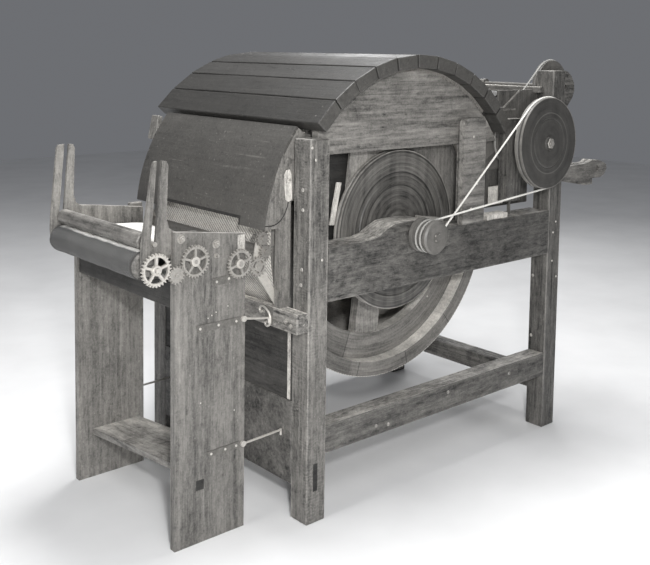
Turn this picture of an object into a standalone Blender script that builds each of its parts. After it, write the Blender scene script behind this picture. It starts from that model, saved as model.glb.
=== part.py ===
"""Early wooden carding machine: clothed cylinder under an arch of flats, feed stand, doffer and doffing comb.

Machine coordinates, in metres: x runs along the machine from the front face of the front posts towards the
doffer, y runs across it from the near posts' outer face, and z is up from the floor. Everything is parented
to the empty "machine", which moves the middle of the footprint to the world's origin.
"""

import math

import bmesh
import bpy
from mathutils import Matrix, Vector

# ---------------------------------------------------------------- driving dimensions
GAP = 0.0003

# Frame
POST = 0.076
FRAME_LENGTH = 1.271
FRAME_WIDTH = 0.872
FRONT_POST_TOP = 1.177
FAR_POST_TOP = 1.160
BACK_POST_TOP = 1.374
BACK_POST_X = FRAME_LENGTH - POST
RAIL_LOW_Z = (0.207, 0.295)
RAIL_LOW_THICK = 0.070
RAIL_MID_Z = (0.681, 0.847)
RAIL_MID_THICK = 0.090
TIMBER_BEVEL = 0.003

# Main cylinder
AXIS = (0.470, 0.844)
DRUM_R = 0.509
DRUM_INNER_R = 0.459
FELLOE_INNER_R = 0.372
DRUM_Y = (0.140, 0.732)
FELLOE_RECESS = 0.046
FELLOE_THICK = 0.040
ARM_WIDTH = 0.107
ARM_TILT = math.radians(7.0)
HUB_R = 0.085
MAIN_SHAFT_R = 0.016
DRIVE_PULLEY_R = 0.268
DRIVE_PULLEY_Y = (0.0925, 0.118)
CORD_PULLEY_R = 0.056
CORD_PULLEY_Y = (-0.084, -0.006)
CORD_DRUM_R = 0.0475
CORD_DRUM_Y = (-0.067, -0.022)

# Arch of flats
FLAT_INNER_R = 0.541
FLAT_OUTER_R = 0.586
FLAT_FIRST = math.radians(40.5)
FLAT_PITCH = math.radians(9.55)
FLAT_GROUPS = (("flats_front", 0, 4), ("flats_top", 4, 7), ("flats_back", 7, 11))
FLAT_Y = (-0.004, 0.893)
ARCH_R = 0.5385
ARCH_BOTTOM = 1.122
ARCH_Y = (0.0555, 0.0845)
STRUT_X = (0.694, 0.806)
STRUT_TOP = 1.215
STRUT_THICK = 0.025
STRUT_PACKING_X = 0.726

# Front cover and its cheeks
COVER_R = (0.569, 0.577)
COVER_TOP_ANGLE = math.radians(39.4)
COVER_BOTTOM_Z = 0.906
COVER_NOTCH_Z = 0.935
COVER_NOTCH_Y = 0.208
COVER_FAR_Y = 0.815
CHEEK_Y = (0.093, 0.115)
CHEEK_FRONT_X = -0.040
CHEEK_BACK_X = 0.060
CHEEK_FOOT_X = 0.003
CROSS_BAR_TOP = 0.660
CHEEK_STEP_Z = 0.985

# Doffer
DOFFER_AXIS = (1.075, 1.115)
DOFFER_R = 0.150
DOFFER_Y = (0.110, 0.762)
DOFFER_SHAFT_R = 0.011
DOFFER_PULLEY_R = 0.1655
DOFFER_PULLEY_Y = (-0.075, -0.045)
DOFFER_COVER_R = (0.172, 0.180)

# Comb drive
CRANK_AXIS = (1.302, 1.312)
CRANK_SHAFT_R = 0.008
CRANK_THROW = 0.010
COMB_PULLEY_R = 0.0995
COMB_PULLEY_Y = (0.082, 0.102)
COMB_AXIS = (1.515, 0.985)
COMB_BLADE_X = 1.224
BRACKET_Y = (0.004, 0.046)
BRACKET_END = 1.585

# Cords
CORD_R = 0.0045
CORD_SEAT = 0.0010
GROOVE_R = 0.0060
DOFFER_CORD_Y = -0.060
CORD_LAST_TURN_Y = -0.030
COMB_CORD_Y = 0.092

# Feed stand
PLANK_NEAR_Y = (0.1255, 0.1475)
PLANK_FAR_Y = (0.709, 0.731)
PLANK_X = (-0.388, -0.142)
PLANK_TOP_Z = (0.929, 0.898)
FORK_THICK = 0.007
FORK_TOP = 1.130
SLOT_HALF = 0.008
SLOT_BOTTOM = (-0.4460, 0.901)
SLOT_TOP = (-0.4250, FORK_TOP)
ROLLER_Y = (0.1705, 0.6860)
APRON_Y = (0.178, 0.6785)
APRON_THICK = 0.0025
FRONT_ROLLER = (-0.4565, 0.8345)
FRONT_ROLLER_R = 0.039
REAR_ROLLER = (-0.1735, 0.8140)
REAR_ROLLER_R = 0.036
LAP_ROLLER_R = 0.024
SHELF_SLOPE = 0.105
LAP_SPINDLE_R = 0.007
LAP_ROLLER_Y = (0.190, 0.684)
LAP_SPINDLE_OVERHANG = 0.014
SPINDLE_R = 0.008

# Feed gears
MODULE = 0.0032
GEAR_Y = (0.108, 0.116)
STAY_Y = (0.1185, 0.1235)
TEETH_FRONT = 28
TEETH_PINION = 15
TEETH_REAR = 26
TEETH_IDLER = 18
TEETH_LOWER = 13
TEETH_UPPER = 14
MIDDLE_WHEEL = (-0.3295, 0.8420)
IDLER_DIRECTION = math.radians(-15.0)
LOWER_DIRECTION = math.radians(57.3)
UPPER_DIRECTION = math.radians(105.8)
FEED_ROLLER_R = 0.016
UPPER_STUB = 0.030


def pitch_radius(teeth):
    return MODULE * teeth / 2


def polar(centre, radius, angle):
    return (centre[0] + radius * math.cos(angle), centre[1] + radius * math.sin(angle))


def beside(centre, teeth, direction, other_teeth):
    """The centre of a wheel that meshes with the one at centre, in the given direction."""
    return polar(centre, pitch_radius(teeth) + pitch_radius(other_teeth), direction)


IDLER_WHEEL = beside(REAR_ROLLER, TEETH_REAR, IDLER_DIRECTION, TEETH_IDLER)
LOWER_ROLLER = beside(IDLER_WHEEL, TEETH_IDLER, LOWER_DIRECTION, TEETH_LOWER)
UPPER_ROLLER = beside(LOWER_ROLLER, TEETH_LOWER, UPPER_DIRECTION, TEETH_UPPER)

SHAFT_END_Y = -0.090


# ---------------------------------------------------------------- scene and materials
def clear_scene():
    for obj in list(bpy.data.objects):
        bpy.data.objects.remove(obj, do_unlink=True)


clear_scene()
machine_parts = bpy.data.collections.new("carding_machine")
bpy.context.scene.collection.children.link(machine_parts)
machine = bpy.data.objects.new("machine", None)
machine_parts.objects.link(machine)

FINISHES = {
    "oak": ((0.235, 0.195, 0.155), 0.72, 0.0),
    "pine": ((0.330, 0.275, 0.215), 0.70, 0.0),
    "dark_wood": ((0.060, 0.050, 0.042), 0.62, 0.0),
    "turned_wood": ((0.150, 0.120, 0.095), 0.58, 0.0),
    "clothing": ((0.300, 0.285, 0.260), 0.60, 0.2),
    "iron": ((0.300, 0.290, 0.275), 0.48, 1.0),
    "rope": ((0.620, 0.570, 0.480), 0.90, 0.0),
    "canvas": ((0.640, 0.600, 0.520), 0.92, 0.0),
}


def finish(node, kind):
    colour, roughness, metallic = FINISHES[kind]
    material = bpy.data.materials.new(f"{node}_{kind}")
    material.use_nodes = True
    shader = material.node_tree.nodes["Principled BSDF"]
    shader.inputs["Base Color"].default_value = (*colour, 1.0)
    shader.inputs["Roughness"].default_value = roughness
    shader.inputs["Metallic"].default_value = metallic
    return material


# ---------------------------------------------------------------- shapes, as meshes in machine coordinates
def evaluated_mesh(obj):
    """The mesh that an object's modifiers or its curve make, in machine coordinates; the object is removed."""
    bpy.context.view_layer.update()
    mesh = bpy.data.meshes.new_from_object(obj.evaluated_get(bpy.context.evaluated_depsgraph_get()))
    mesh.transform(obj.matrix_world)
    source = obj.data
    bpy.data.objects.remove(obj, do_unlink=True)
    if isinstance(source, bpy.types.Curve):
        bpy.data.curves.remove(source)
    return mesh


def tidy(mesh, distance=1e-6):
    work = bmesh.new()
    work.from_mesh(mesh)
    bmesh.ops.remove_doubles(work, verts=work.verts, dist=distance)
    bmesh.ops.recalc_face_normals(work, faces=work.faces)
    work.to_mesh(mesh)
    work.free()
    return mesh


def scratch_object(data):
    obj = bpy.data.objects.new("scratch", data)
    bpy.context.scene.collection.objects.link(obj)
    return obj


def box(x, y, z, bevel=0.0):
    size = [high - low for low, high in (x, y, z)]
    middle = [(low + high) / 2 for low, high in (x, y, z)]
    work = bmesh.new()
    bmesh.ops.create_cube(work, size=1.0, matrix=Matrix.Translation(middle) @ Matrix.Diagonal((*size, 1.0)))
    mesh = bpy.data.meshes.new("box")
    work.to_mesh(mesh)
    work.free()
    if not bevel:
        return mesh
    obj = scratch_object(mesh)
    edge = obj.modifiers.new("edge", "BEVEL")
    edge.width = bevel
    edge.segments = 1
    return tidy(evaluated_mesh(obj))


def rod(centre, radius, y, sides=24):
    """A cylinder along y."""
    work = bmesh.new()
    turn = Matrix.Rotation(math.pi / 2, 4, "X")
    place = Matrix.Translation((centre[0], sum(y) / 2, centre[1]))
    bmesh.ops.create_cone(
        work, cap_ends=True, segments=sides, radius1=radius, radius2=radius, depth=y[1] - y[0], matrix=place @ turn
    )
    mesh = bpy.data.meshes.new("rod")
    work.to_mesh(mesh)
    work.free()
    return mesh


def plate(outline, y, holes=()):
    """A flat board or casting whose outline lies in the xz plane, between two values of y."""
    curve = bpy.data.curves.new("outline", "CURVE")
    curve.dimensions = "2D"
    curve.fill_mode = "BOTH"
    curve.extrude = (y[1] - y[0]) / 2
    for loop in (outline, *holes):
        spline = curve.splines.new("POLY")
        spline.points.add(len(loop) - 1)
        for point, (x, z) in zip(spline.points, loop):
            point.co = (x, z, 0.0, 1.0)
        spline.use_cyclic_u = True
    obj = scratch_object(curve)
    obj.rotation_euler = (math.pi / 2, 0.0, 0.0)
    obj.location.y = sum(y) / 2
    return tidy(evaluated_mesh(obj))


def turned(profile, centre, steps=48):
    """A closed (radius, y) profile turned about the line along y through centre."""
    mesh = bpy.data.meshes.new("profile")
    count = len(profile)
    edges = [(index, (index + 1) % count) for index in range(count)]
    mesh.from_pydata([(radius, 0.0, height) for radius, height in profile], edges, [])
    obj = scratch_object(mesh)
    screw = obj.modifiers.new("turn", "SCREW")
    screw.steps = steps
    screw.render_steps = steps
    obj.matrix_world = Matrix.Translation((centre[0], 0.0, centre[1])) @ Matrix.Rotation(-math.pi / 2, 4, "X")
    return tidy(evaluated_mesh(obj))


def tube(points, radius, cyclic=False):
    curve = bpy.data.curves.new("tube", "CURVE")
    curve.dimensions = "3D"
    curve.bevel_depth = radius
    curve.bevel_resolution = 2
    curve.use_fill_caps = not cyclic
    spline = curve.splines.new("POLY")
    spline.points.add(len(points) - 1)
    for point, place in zip(spline.points, points):
        point.co = (*place, 1.0)
    spline.use_cyclic_u = cyclic
    return tidy(evaluated_mesh(scratch_object(curve)))


def combined(operation, base, *others):
    obj = scratch_object(base)
    tools = [scratch_object(mesh) for mesh in others]
    for tool in tools:
        step = obj.modifiers.new("step", "BOOLEAN")
        step.operation = operation
        step.object = tool
    mesh = evaluated_mesh(obj)
    for tool in tools:
        bpy.data.objects.remove(tool, do_unlink=True)
    return tidy(mesh)


def joined(base, *others):
    return combined("UNION", base, *others)


def cut(base, *others):
    return combined("DIFFERENCE", base, *others)


def node(name, mesh, kind, pivot=None, smooth=False):
    """One sub-part. Its origin is at the pivot (x, z) of the joint that moves it, or at its own middle."""
    if pivot is None:
        corners = [vertex.co for vertex in mesh.vertices]
        origin = Vector([(min(c[i] for c in corners) + max(c[i] for c in corners)) / 2 for i in range(3)])
    else:
        origin = Vector((pivot[0], 0.0, pivot[1]))
    mesh.transform(Matrix.Translation(-origin))
    mesh.name = name
    mesh.materials.clear()
    mesh.materials.append(finish(name, kind))
    if smooth:
        mesh.shade_smooth()
        mesh.set_sharp_from_angle(angle=math.radians(35))
    obj = bpy.data.objects.new(name, mesh)
    obj.location = origin
    obj.parent = machine
    machine_parts.objects.link(obj)
    return obj


def far(y):
    """The same range of y, measured from the far side of the frame."""
    return (FRAME_WIDTH - y[1], FRAME_WIDTH - y[0])


def arc(centre, radius, start, end, count):
    return [polar(centre, radius, start + (end - start) * i / (count - 1)) for i in range(count)]


def circle(centre, radius, count=24):
    return [polar(centre, radius, 2 * math.pi * i / count) for i in range(count)]


# ---------------------------------------------------------------- frame
def posts():
    for side, y in (("near", (0.0, POST)), ("far", far((0.0, POST)))):
        top = FRONT_POST_TOP if side == "near" else FAR_POST_TOP
        front_post = box((0.0, POST), y, (0.0, top), TIMBER_BEVEL)
        node(f"post_front_{side}", front_post, "oak")
        back_post = box((BACK_POST_X, FRAME_LENGTH), y, (0.0, BACK_POST_TOP), TIMBER_BEVEL)
        node(f"post_back_{side}", back_post, "oak")


def saddle(x):
    """Height of the mid rail's top edge, which swells into a saddle over the main shaft."""
    start, full, end = 0.250, 0.375, 0.6935
    if x < full:
        share = (x - start) / (full - start)
    elif x > AXIS[0]:
        share = (end - x) / (end - AXIS[0])
    else:
        share = 1.0
    share = min(max(share, 0.0), 1.0)
    return RAIL_MID_Z[1] + 0.043 * (1 - math.cos(math.pi * share)) / 2


def rails():
    between = (POST + GAP, BACK_POST_X - GAP)
    top = [(0.25 + 0.4435 * i / 12, saddle(0.25 + 0.4435 * i / 12)) for i in range(13)]
    outline = [
        (between[0], RAIL_MID_Z[0]),
        (between[1], RAIL_MID_Z[0]),
        (between[1], RAIL_MID_Z[1]),
        *reversed(top),
        (between[0], RAIL_MID_Z[1]),
    ]
    for side, place in (("near", lambda y: y), ("far", far)):
        low = box(between, place((0.0, RAIL_LOW_THICK)), RAIL_LOW_Z, TIMBER_BEVEL)
        node(f"side_rail_lower_{side}", low, "oak")
        hole = circle(AXIS, MAIN_SHAFT_R + 0.0006)
        node(f"side_rail_mid_{side}", plate(outline, place((0.0, RAIL_MID_THICK)), [hole]), "oak")


def cross_members():
    inside = (POST + GAP, FRAME_WIDTH - POST - GAP)
    node("cross_rail_back", box((1.199, 1.267), inside, (0.140, 0.2085), TIMBER_BEVEL), "oak")
    node("front_board_lower", box((0.0, 0.024), inside, (0.105, 0.365), 0.002), "pine")
    node("front_panel_upper", box((0.004, 0.014), inside, (0.365 + GAP, 0.5985), 0.001), "dark_wood")
    bar = box((-0.0453, -GAP), (0.0, FRAME_WIDTH), (0.600, CROSS_BAR_TOP), TIMBER_BEVEL)
    hollow = rod(AXIS, DRUM_R + 0.007, (DRUM_Y[0] - 0.010, DRUM_Y[1] + 0.010), 96)
    node("front_cross_bar", cut(bar, hollow), "oak")
    header = box((1.170, BACK_POST_X - GAP), (0.043, FRAME_WIDTH - 0.043), (1.2895, 1.3125), 0.002)
    node("header_rail", header, "oak")


# ---------------------------------------------------------------- arch, flats and covers
def arch_boards():
    left = POST + GAP
    start = math.asin((ARCH_BOTTOM - AXIS[1]) / ARCH_R)
    end = math.pi - math.acos((AXIS[0] - left) / ARCH_R)
    outline = [(left, ARCH_BOTTOM), *arc(AXIS, ARCH_R, start, end, 33)]
    corner = 0.022
    low, high = STRUT_X
    post = [
        (low, RAIL_MID_Z[1] + GAP),
        (high, RAIL_MID_Z[1] + GAP),
        *arc((high - corner, STRUT_TOP - corner), corner, 0.0, math.pi / 2, 5),
        *arc((low + corner, STRUT_TOP - corner), corner, math.pi / 2, math.pi, 5),
    ]
    for side, place in (("near", lambda y: y), ("far", far)):
        strut = plate(post, place((0.0, STRUT_THICK)))
        packing = box(
            (STRUT_PACKING_X, high - 0.001),
            place((STRUT_THICK - 0.002, ARCH_Y[0] + 0.006)),
            (RAIL_MID_Z[1] + 0.001, STRUT_TOP - corner),
        )
        node(f"arch_board_{side}", joined(plate(outline, place(ARCH_Y)), strut, packing), "oak")


def flats():
    """Thick flats laid edge to edge round the cylinder; a groove marks each joint within a group."""
    groove = math.radians(0.25)
    for name, first, last in FLAT_GROUPS:
        outer = []
        inner = []
        for index in range(first, last):
            start = math.pi - FLAT_FIRST - index * FLAT_PITCH
            end = start - FLAT_PITCH
            if index > first:
                outer.append(polar(AXIS, FLAT_INNER_R + 0.008, start))
            outer.append(polar(AXIS, FLAT_OUTER_R, start - groove))
            outer.append(polar(AXIS, FLAT_OUTER_R, end + groove))
            inner.append(polar(AXIS, FLAT_INNER_R, start - groove))
            inner.append(polar(AXIS, FLAT_INNER_R, end + groove))
        planks = plate(outer + inner[::-1], FLAT_Y)
        if last == 11:
            clearance = (DOFFER_Y[0] - 0.008, DOFFER_Y[1] + 0.008)
            planks = cut(planks, rod(DOFFER_AXIS, DOFFER_R + 0.005, clearance, 56))
        node(name, planks, "oak")


def band(centre, radii, start, end, count=17):
    return arc(centre, radii[0], start, end, count) + arc(centre, radii[1], end, start, count)


def front_cover():
    low = math.pi - math.asin((COVER_BOTTOM_Z - AXIS[1]) / COVER_R[0])
    high = math.pi - COVER_TOP_ANGLE
    sheet = plate(band(AXIS, COVER_R, low, high), (CHEEK_Y[0], COVER_FAR_Y))
    notch = box((-0.3, 0.2), (COVER_NOTCH_Y, FRAME_WIDTH - COVER_NOTCH_Y), (0.8, COVER_NOTCH_Z))
    node("front_cover", cut(sheet, notch), "dark_wood")


def cheeks():
    """Side boards that close the cover's ends and stand on the front cross bar."""
    radius = COVER_R[0] - GAP
    foot = CROSS_BAR_TOP + GAP
    top = math.pi - COVER_TOP_ANGLE
    low = math.pi - math.asin((COVER_BOTTOM_Z - AXIS[1]) / radius)
    shoulder = polar(AXIS, FLAT_INNER_R - 0.001, top)
    outline = [
        (CHEEK_FOOT_X, foot),
        (CHEEK_FOOT_X, CHEEK_STEP_Z),
        (CHEEK_BACK_X, CHEEK_STEP_Z),
        (CHEEK_BACK_X, shoulder[1] - 0.008),
        shoulder,
        *arc(AXIS, radius, top, low, 15),
        (CHEEK_FRONT_X, COVER_BOTTOM_Z),
        (CHEEK_FRONT_X, foot),
    ]
    node("cheek_near", plate(outline, CHEEK_Y), "oak")
    node("cheek_far", plate(outline, far(CHEEK_Y)), "oak")


def doffer_cover():
    outline = band(DOFFER_AXIS, DOFFER_COVER_R, math.radians(92), math.radians(138), 9)
    node("doffer_cover", plate(outline, (0.118, FRAME_WIDTH - 0.118)), "oak")


# ---------------------------------------------------------------- main cylinder
def groove(radius, y_middle):
    """Half-round groove for a cord, as (radius, y) points from low y to high y."""
    centre = radius + CORD_SEAT
    reach = math.acos(CORD_SEAT / GROOVE_R)
    angles = [-reach + 2 * reach * i / 6 for i in range(7)]
    return [(centre - GROOVE_R * math.cos(a), y_middle + GROOVE_R * math.sin(a)) for a in angles]


def drum():
    """Staved barrel with a felloe ring set back inside each end, and four arms on each felloe."""
    low, high = DRUM_Y
    section = [(DRUM_INNER_R, low)]
    arm_faces = []
    for start in (low + FELLOE_RECESS, high - FELLOE_RECESS - FELLOE_THICK):
        end = start + FELLOE_THICK
        section += [(DRUM_INNER_R, start), (FELLOE_INNER_R, start), (FELLOE_INNER_R, end), (DRUM_INNER_R, end)]
        arm_faces.append((start + 0.004, start + FELLOE_THICK - 0.004))
    section += [(DRUM_INNER_R, high), (DRUM_R, high), (DRUM_R, low)]
    barrel = turned(section, AXIS, 72)
    spiders = [plate(arms(), face, [circle(AXIS, MAIN_SHAFT_R + GAP)]) for face in arm_faces]
    return joined(barrel, *spiders)


def arms():
    """Outline of four crossed arms and the hub boss between them."""
    points = []
    half = ARM_WIDTH / 2
    reach = FELLOE_INNER_R + 0.006
    boss = math.atan2(half, math.sqrt(HUB_R**2 - half**2))
    for quarter in range(4):
        along = quarter * math.pi / 2 - ARM_TILT
        swing = math.atan2(half, reach)
        points.append(polar(AXIS, HUB_R, along - boss))
        points.append(polar(AXIS, math.hypot(reach, half), along - swing))
        points.append(polar(AXIS, math.hypot(reach, half), along + swing))
        points.append(polar(AXIS, HUB_R, along + boss))
    return points


def drive_pulley():
    low, high = DRIVE_PULLEY_Y
    radius = DRIVE_PULLEY_R
    bore = MAIN_SHAFT_R + GAP
    rings = [(0.225, 0.0), (0.222, 0.0025), (0.180, 0.0025), (0.176, 0.0), (0.160, 0.0), (0.156, 0.003), (0.060, 0.003)]
    profile = [
        (bore, low),
        (0.055, low),
        *((ring, low + depth) for ring, depth in reversed(rings)),
        (radius, low + 0.001),
        *groove(radius, (low + high) / 2),
        (radius, high),
        (bore, high),
    ]
    return turned(profile, AXIS, 64)


def cord_pulley():
    low, high = CORD_PULLEY_Y
    bore = MAIN_SHAFT_R - 0.005
    profile = [
        (bore, low),
        (CORD_PULLEY_R - 0.006, low),
        (CORD_PULLEY_R, low + 0.006),
        (CORD_PULLEY_R, CORD_DRUM_Y[0] - 0.002),
        (CORD_DRUM_R, CORD_DRUM_Y[0]),
        (CORD_DRUM_R, CORD_DRUM_Y[1]),
        (CORD_PULLEY_R, CORD_DRUM_Y[1] + 0.002),
        (CORD_PULLEY_R, high - 0.004),
        (CORD_PULLEY_R - 0.004, high),
        (bore, high),
    ]
    return turned(profile, AXIS, 40)


def main_shaft():
    """The iron shaft with the small grooved pulley fixed on its near end."""
    body = rod(AXIS, MAIN_SHAFT_R, (-0.0045, FRAME_WIDTH + 0.014))
    neck = rod(AXIS, MAIN_SHAFT_R - 0.004, (SHAFT_END_Y, 0.010))
    return joined(body, neck, cord_pulley())


def cylinder():
    node("cylinder_drum", drum(), "clothing", AXIS, smooth=True)
    node("main_shaft", main_shaft(), "iron", AXIS, smooth=True)
    node("drive_pulley", drive_pulley(), "turned_wood", AXIS, smooth=True)


# ---------------------------------------------------------------- doffer
def doffer_bearings():
    """Hanging boards, each steadied by a pin to the rail below, with an arm that carries the doffer's shaft."""
    x, z = DOFFER_AXIS
    outline = [
        (0.965, 0.898),
        (1.045, 0.898),
        (1.045, z - 0.045),
        (BACK_POST_X - GAP, z - 0.045),
        (BACK_POST_X - GAP, z + 0.050),
        (1.045, z + 0.050),
        (1.045, 1.200),
        (0.965, 1.200),
    ]
    hole = [circle((x, z), DOFFER_SHAFT_R + 0.0006)]
    pin = [(1.000, RAIL_MID_Z[1] + GAP), (1.009, RAIL_MID_Z[1] + GAP), (1.009, 0.900), (1.000, 0.900)]
    for side, place in (("near", lambda y: y), ("far", far)):
        board = plate(outline, place((0.025, 0.065)), hole)
        node(f"doffer_bearing_{side}", joined(board, plate(pin, place((0.040, 0.049)))), "oak")


def solid_pulley(centre, radius, y, bore, hub):
    low, high = y
    profile = [
        (bore, low - hub),
        (bore + 0.014, low - hub),
        (bore + 0.016, low),
        (0.52 * radius, low),
        (0.54 * radius, low + 0.0015),
        (0.56 * radius, low),
        (radius, low + 0.001),
        *groove(radius, (low + high) / 2),
        (radius, high),
        (bore, high),
    ]
    return turned(profile, centre, 56)


def doffer():
    inner_pulley = turned(
        [
            (DOFFER_SHAFT_R - 0.001, COMB_PULLEY_Y[0]),
            (COMB_PULLEY_R, COMB_PULLEY_Y[0]),
            *groove(COMB_PULLEY_R, COMB_CORD_Y),
            (COMB_PULLEY_R, COMB_PULLEY_Y[1]),
            (DOFFER_SHAFT_R - 0.001, COMB_PULLEY_Y[1]),
        ],
        DOFFER_AXIS,
        40,
    )
    bar = rod(DOFFER_AXIS, DOFFER_SHAFT_R, (-0.088, FRAME_WIDTH - 0.012))
    node("doffer_shaft", joined(bar, inner_pulley), "turned_wood", DOFFER_AXIS, smooth=True)
    low, high = DOFFER_Y
    bore = DOFFER_SHAFT_R + GAP
    roller = [(bore, low), (DOFFER_R, low), (DOFFER_R, high), (bore, high)]
    node("doffer_roller", turned(roller, DOFFER_AXIS, 56), "clothing", DOFFER_AXIS, smooth=True)
    pulley = solid_pulley(DOFFER_AXIS, DOFFER_PULLEY_R, DOFFER_PULLEY_Y, bore, 0.006)
    node("doffer_pulley", pulley, "turned_wood", DOFFER_AXIS, smooth=True)


# ---------------------------------------------------------------- comb, its crank and its brackets
def comb_drive():
    x, z = CRANK_AXIS
    middle = FRAME_WIDTH / 2
    pin = (x + CRANK_THROW, z)
    pulley = turned(
        [
            (CRANK_SHAFT_R - 0.001, COMB_PULLEY_Y[0]),
            (COMB_PULLEY_R, COMB_PULLEY_Y[0]),
            *groove(COMB_PULLEY_R, COMB_CORD_Y),
            (COMB_PULLEY_R, COMB_PULLEY_Y[1]),
            (CRANK_SHAFT_R - 0.001, COMB_PULLEY_Y[1]),
        ],
        CRANK_AXIS,
        40,
    )
    parts = [pulley, rod(CRANK_AXIS, CRANK_SHAFT_R, (middle + 0.022, 0.838))]
    for y in ((middle - 0.030, middle - 0.018), (middle + 0.018, middle + 0.030)):
        parts.append(rod((x + CRANK_THROW / 2, z), 0.019, y, 20))
    parts.append(rod(pin, 0.0065, (middle - 0.022, middle + 0.022), 16))
    shaft = joined(rod(CRANK_AXIS, CRANK_SHAFT_R, (0.034, middle - 0.022)), *parts)
    node("crank_shaft", shaft, "iron", CRANK_AXIS, smooth=True)
    foot = COMB_AXIS[1] + 0.010
    half = 0.008
    big = arc(pin, 0.017, math.radians(-60), math.radians(240), 15)
    small = arc((pin[0], foot), 0.014, math.radians(125), math.radians(415), 15)
    outline = [*big, (pin[0] - half, foot + 0.020), *small, (pin[0] + half, foot + 0.020)]
    holes = [circle(pin, 0.0072, 16), circle((pin[0], foot), 0.0072, 16)]
    rod_shape = plate(outline, (middle - 0.011, middle + 0.011), holes)
    node("connecting_rod", rod_shape, "iron", pin, smooth=True)


def crank_bearings():
    """Worn blocks on the backs of the tall posts that carry the comb's crank shaft."""
    back = FRAME_LENGTH + GAP
    outline = [
        (back, 1.2150),
        (1.300, 1.2200),
        (1.326, 1.2450),
        (1.350, 1.2700),
        (1.362, 1.2980),
        (1.358, 1.3250),
        (1.340, 1.3520),
        (1.318, 1.3680),
        (1.295, 1.3740),
        (back, 1.3745),
    ]
    hole = [circle(CRANK_AXIS, CRANK_SHAFT_R + 0.0006)]
    for side, place in (("near", lambda y: y), ("far", far)):
        node(f"crank_bearing_{side}", plate(outline, place((0.020, 0.072)), hole), "oak")


def comb_brackets():
    """Bars behind the tall posts whose end blocks carry the comb's rocker."""
    back = FRAME_LENGTH + GAP
    outline = [
        (back, 0.9520),
        (1.435, 0.9230),
        (1.484, 0.9230),
        (1.484, 0.9470),
        (1.540, 0.9465),
        (1.568, 0.9565),
        (BRACKET_END, 0.9800),
        (1.580, 0.9960),
        (1.564, 1.0050),
        (1.527, 1.0160),
        (1.477, 1.0210),
        (1.457, 1.0120),
        (1.415, 1.0080),
        (back, 1.0020),
    ]
    hole = [circle(COMB_AXIS, 0.0126)]
    node("comb_bracket_near", plate(outline, BRACKET_Y, hole), "oak")
    node("comb_bracket_far", plate(outline, far(BRACKET_Y), hole), "oak")


def comb():
    """Rocker shaft, three arms and the blade that strips the doffer, welded into one piece."""
    x, z = COMB_AXIS
    middle = FRAME_WIDTH / 2
    arm_outline = [
        (x + 0.018, z - 0.016),
        (x + 0.018, z + 0.016),
        (COMB_BLADE_X + 0.050, z + 0.030),
        (COMB_BLADE_X, z + 0.030),
        (COMB_BLADE_X, z + 0.008),
        (COMB_BLADE_X + 0.050, z - 0.002),
    ]
    parts = []
    for y in (0.150, middle - 0.033, FRAME_WIDTH - 0.170):
        parts.append(plate(arm_outline, (y, y + 0.020)))
    blade = box((COMB_BLADE_X - 0.003, COMB_BLADE_X + 0.003), (0.118, 0.754), (z + 0.002, z + 0.062))
    lever_pin = rod((CRANK_AXIS[0] + CRANK_THROW, z + 0.010), 0.0055, (middle - 0.020, middle - 0.0125), 16)
    shaft = rod(COMB_AXIS, 0.012, (0.010, FRAME_WIDTH - 0.010))
    node("doffer_comb", joined(shaft, *parts, blade, lever_pin), "iron", COMB_AXIS)


# ---------------------------------------------------------------- cords
def crossed_cord():
    """The crossed cord: it wraps the small pulley one and a half times, which keeps its two runs apart."""
    small = CORD_DRUM_R + CORD_R + GAP
    large = DOFFER_PULLEY_R + CORD_SEAT
    along = math.atan2(DOFFER_AXIS[1] - AXIS[1], DOFFER_AXIS[0] - AXIS[0])
    lean = math.acos((small + large) / math.dist(AXIS, DOFFER_AXIS))
    top = along + lean
    bottom = along - lean
    turns = arc(AXIS, small, bottom + 4 * math.pi, top, 61)
    shift = (DOFFER_CORD_Y - CORD_LAST_TURN_Y) / (len(turns) - 1)
    points = [(x, CORD_LAST_TURN_Y + shift * i, z) for i, (x, z) in enumerate(turns)]
    return points + [(x, DOFFER_CORD_Y, z) for x, z in arc(DOFFER_AXIS, large, top - math.pi, bottom + math.pi, 45)]


def open_cord():
    """The open cord from the doffer shaft's inner pulley up to the comb crank's pulley."""
    radius = COMB_PULLEY_R + CORD_SEAT
    along = math.atan2(CRANK_AXIS[1] - DOFFER_AXIS[1], CRANK_AXIS[0] - DOFFER_AXIS[0])
    left = along + math.pi / 2
    loop = arc(DOFFER_AXIS, radius, left, left + math.pi, 27)
    loop += arc(CRANK_AXIS, radius, left + math.pi, left + 2 * math.pi, 27)
    return [(x, COMB_CORD_Y, z) for x, z in loop]


def cords():
    node("doffer_cord", tube(crossed_cord(), CORD_R, cyclic=True), "rope", smooth=True)
    node("comb_cord", tube(open_cord(), CORD_R, cyclic=True), "rope", smooth=True)


# ---------------------------------------------------------------- feed stand
def fork_outline(lean):
    """Forked lap stand with a foot that carries the front roller. lean moves the top of its front edge out."""
    bottom_x, bottom_z = SLOT_BOTTOM
    slot = [
        (SLOT_TOP[0] - SLOT_HALF, FORK_TOP),
        *arc((bottom_x, bottom_z), SLOT_HALF, math.pi, 2 * math.pi, 7),
        (SLOT_TOP[0] + SLOT_HALF, FORK_TOP),
    ]
    lug = arc(FRONT_ROLLER, 0.024, math.radians(200), math.radians(330), 9)
    return [
        (-0.480, 0.905),
        (-0.4465 - lean, 1.118),
        (-0.4410 - lean, 1.128),
        *slot,
        (-0.402, 1.128),
        (-0.397, 1.116),
        (-0.402, 0.965),
        (-0.394, 0.940),
        (-0.375, 0.926),
        (-0.300, 0.920),
        (-0.300, 0.868),
        (-0.425, 0.862),
        *reversed(lug),
        (-0.482, 0.860),
    ]


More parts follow.
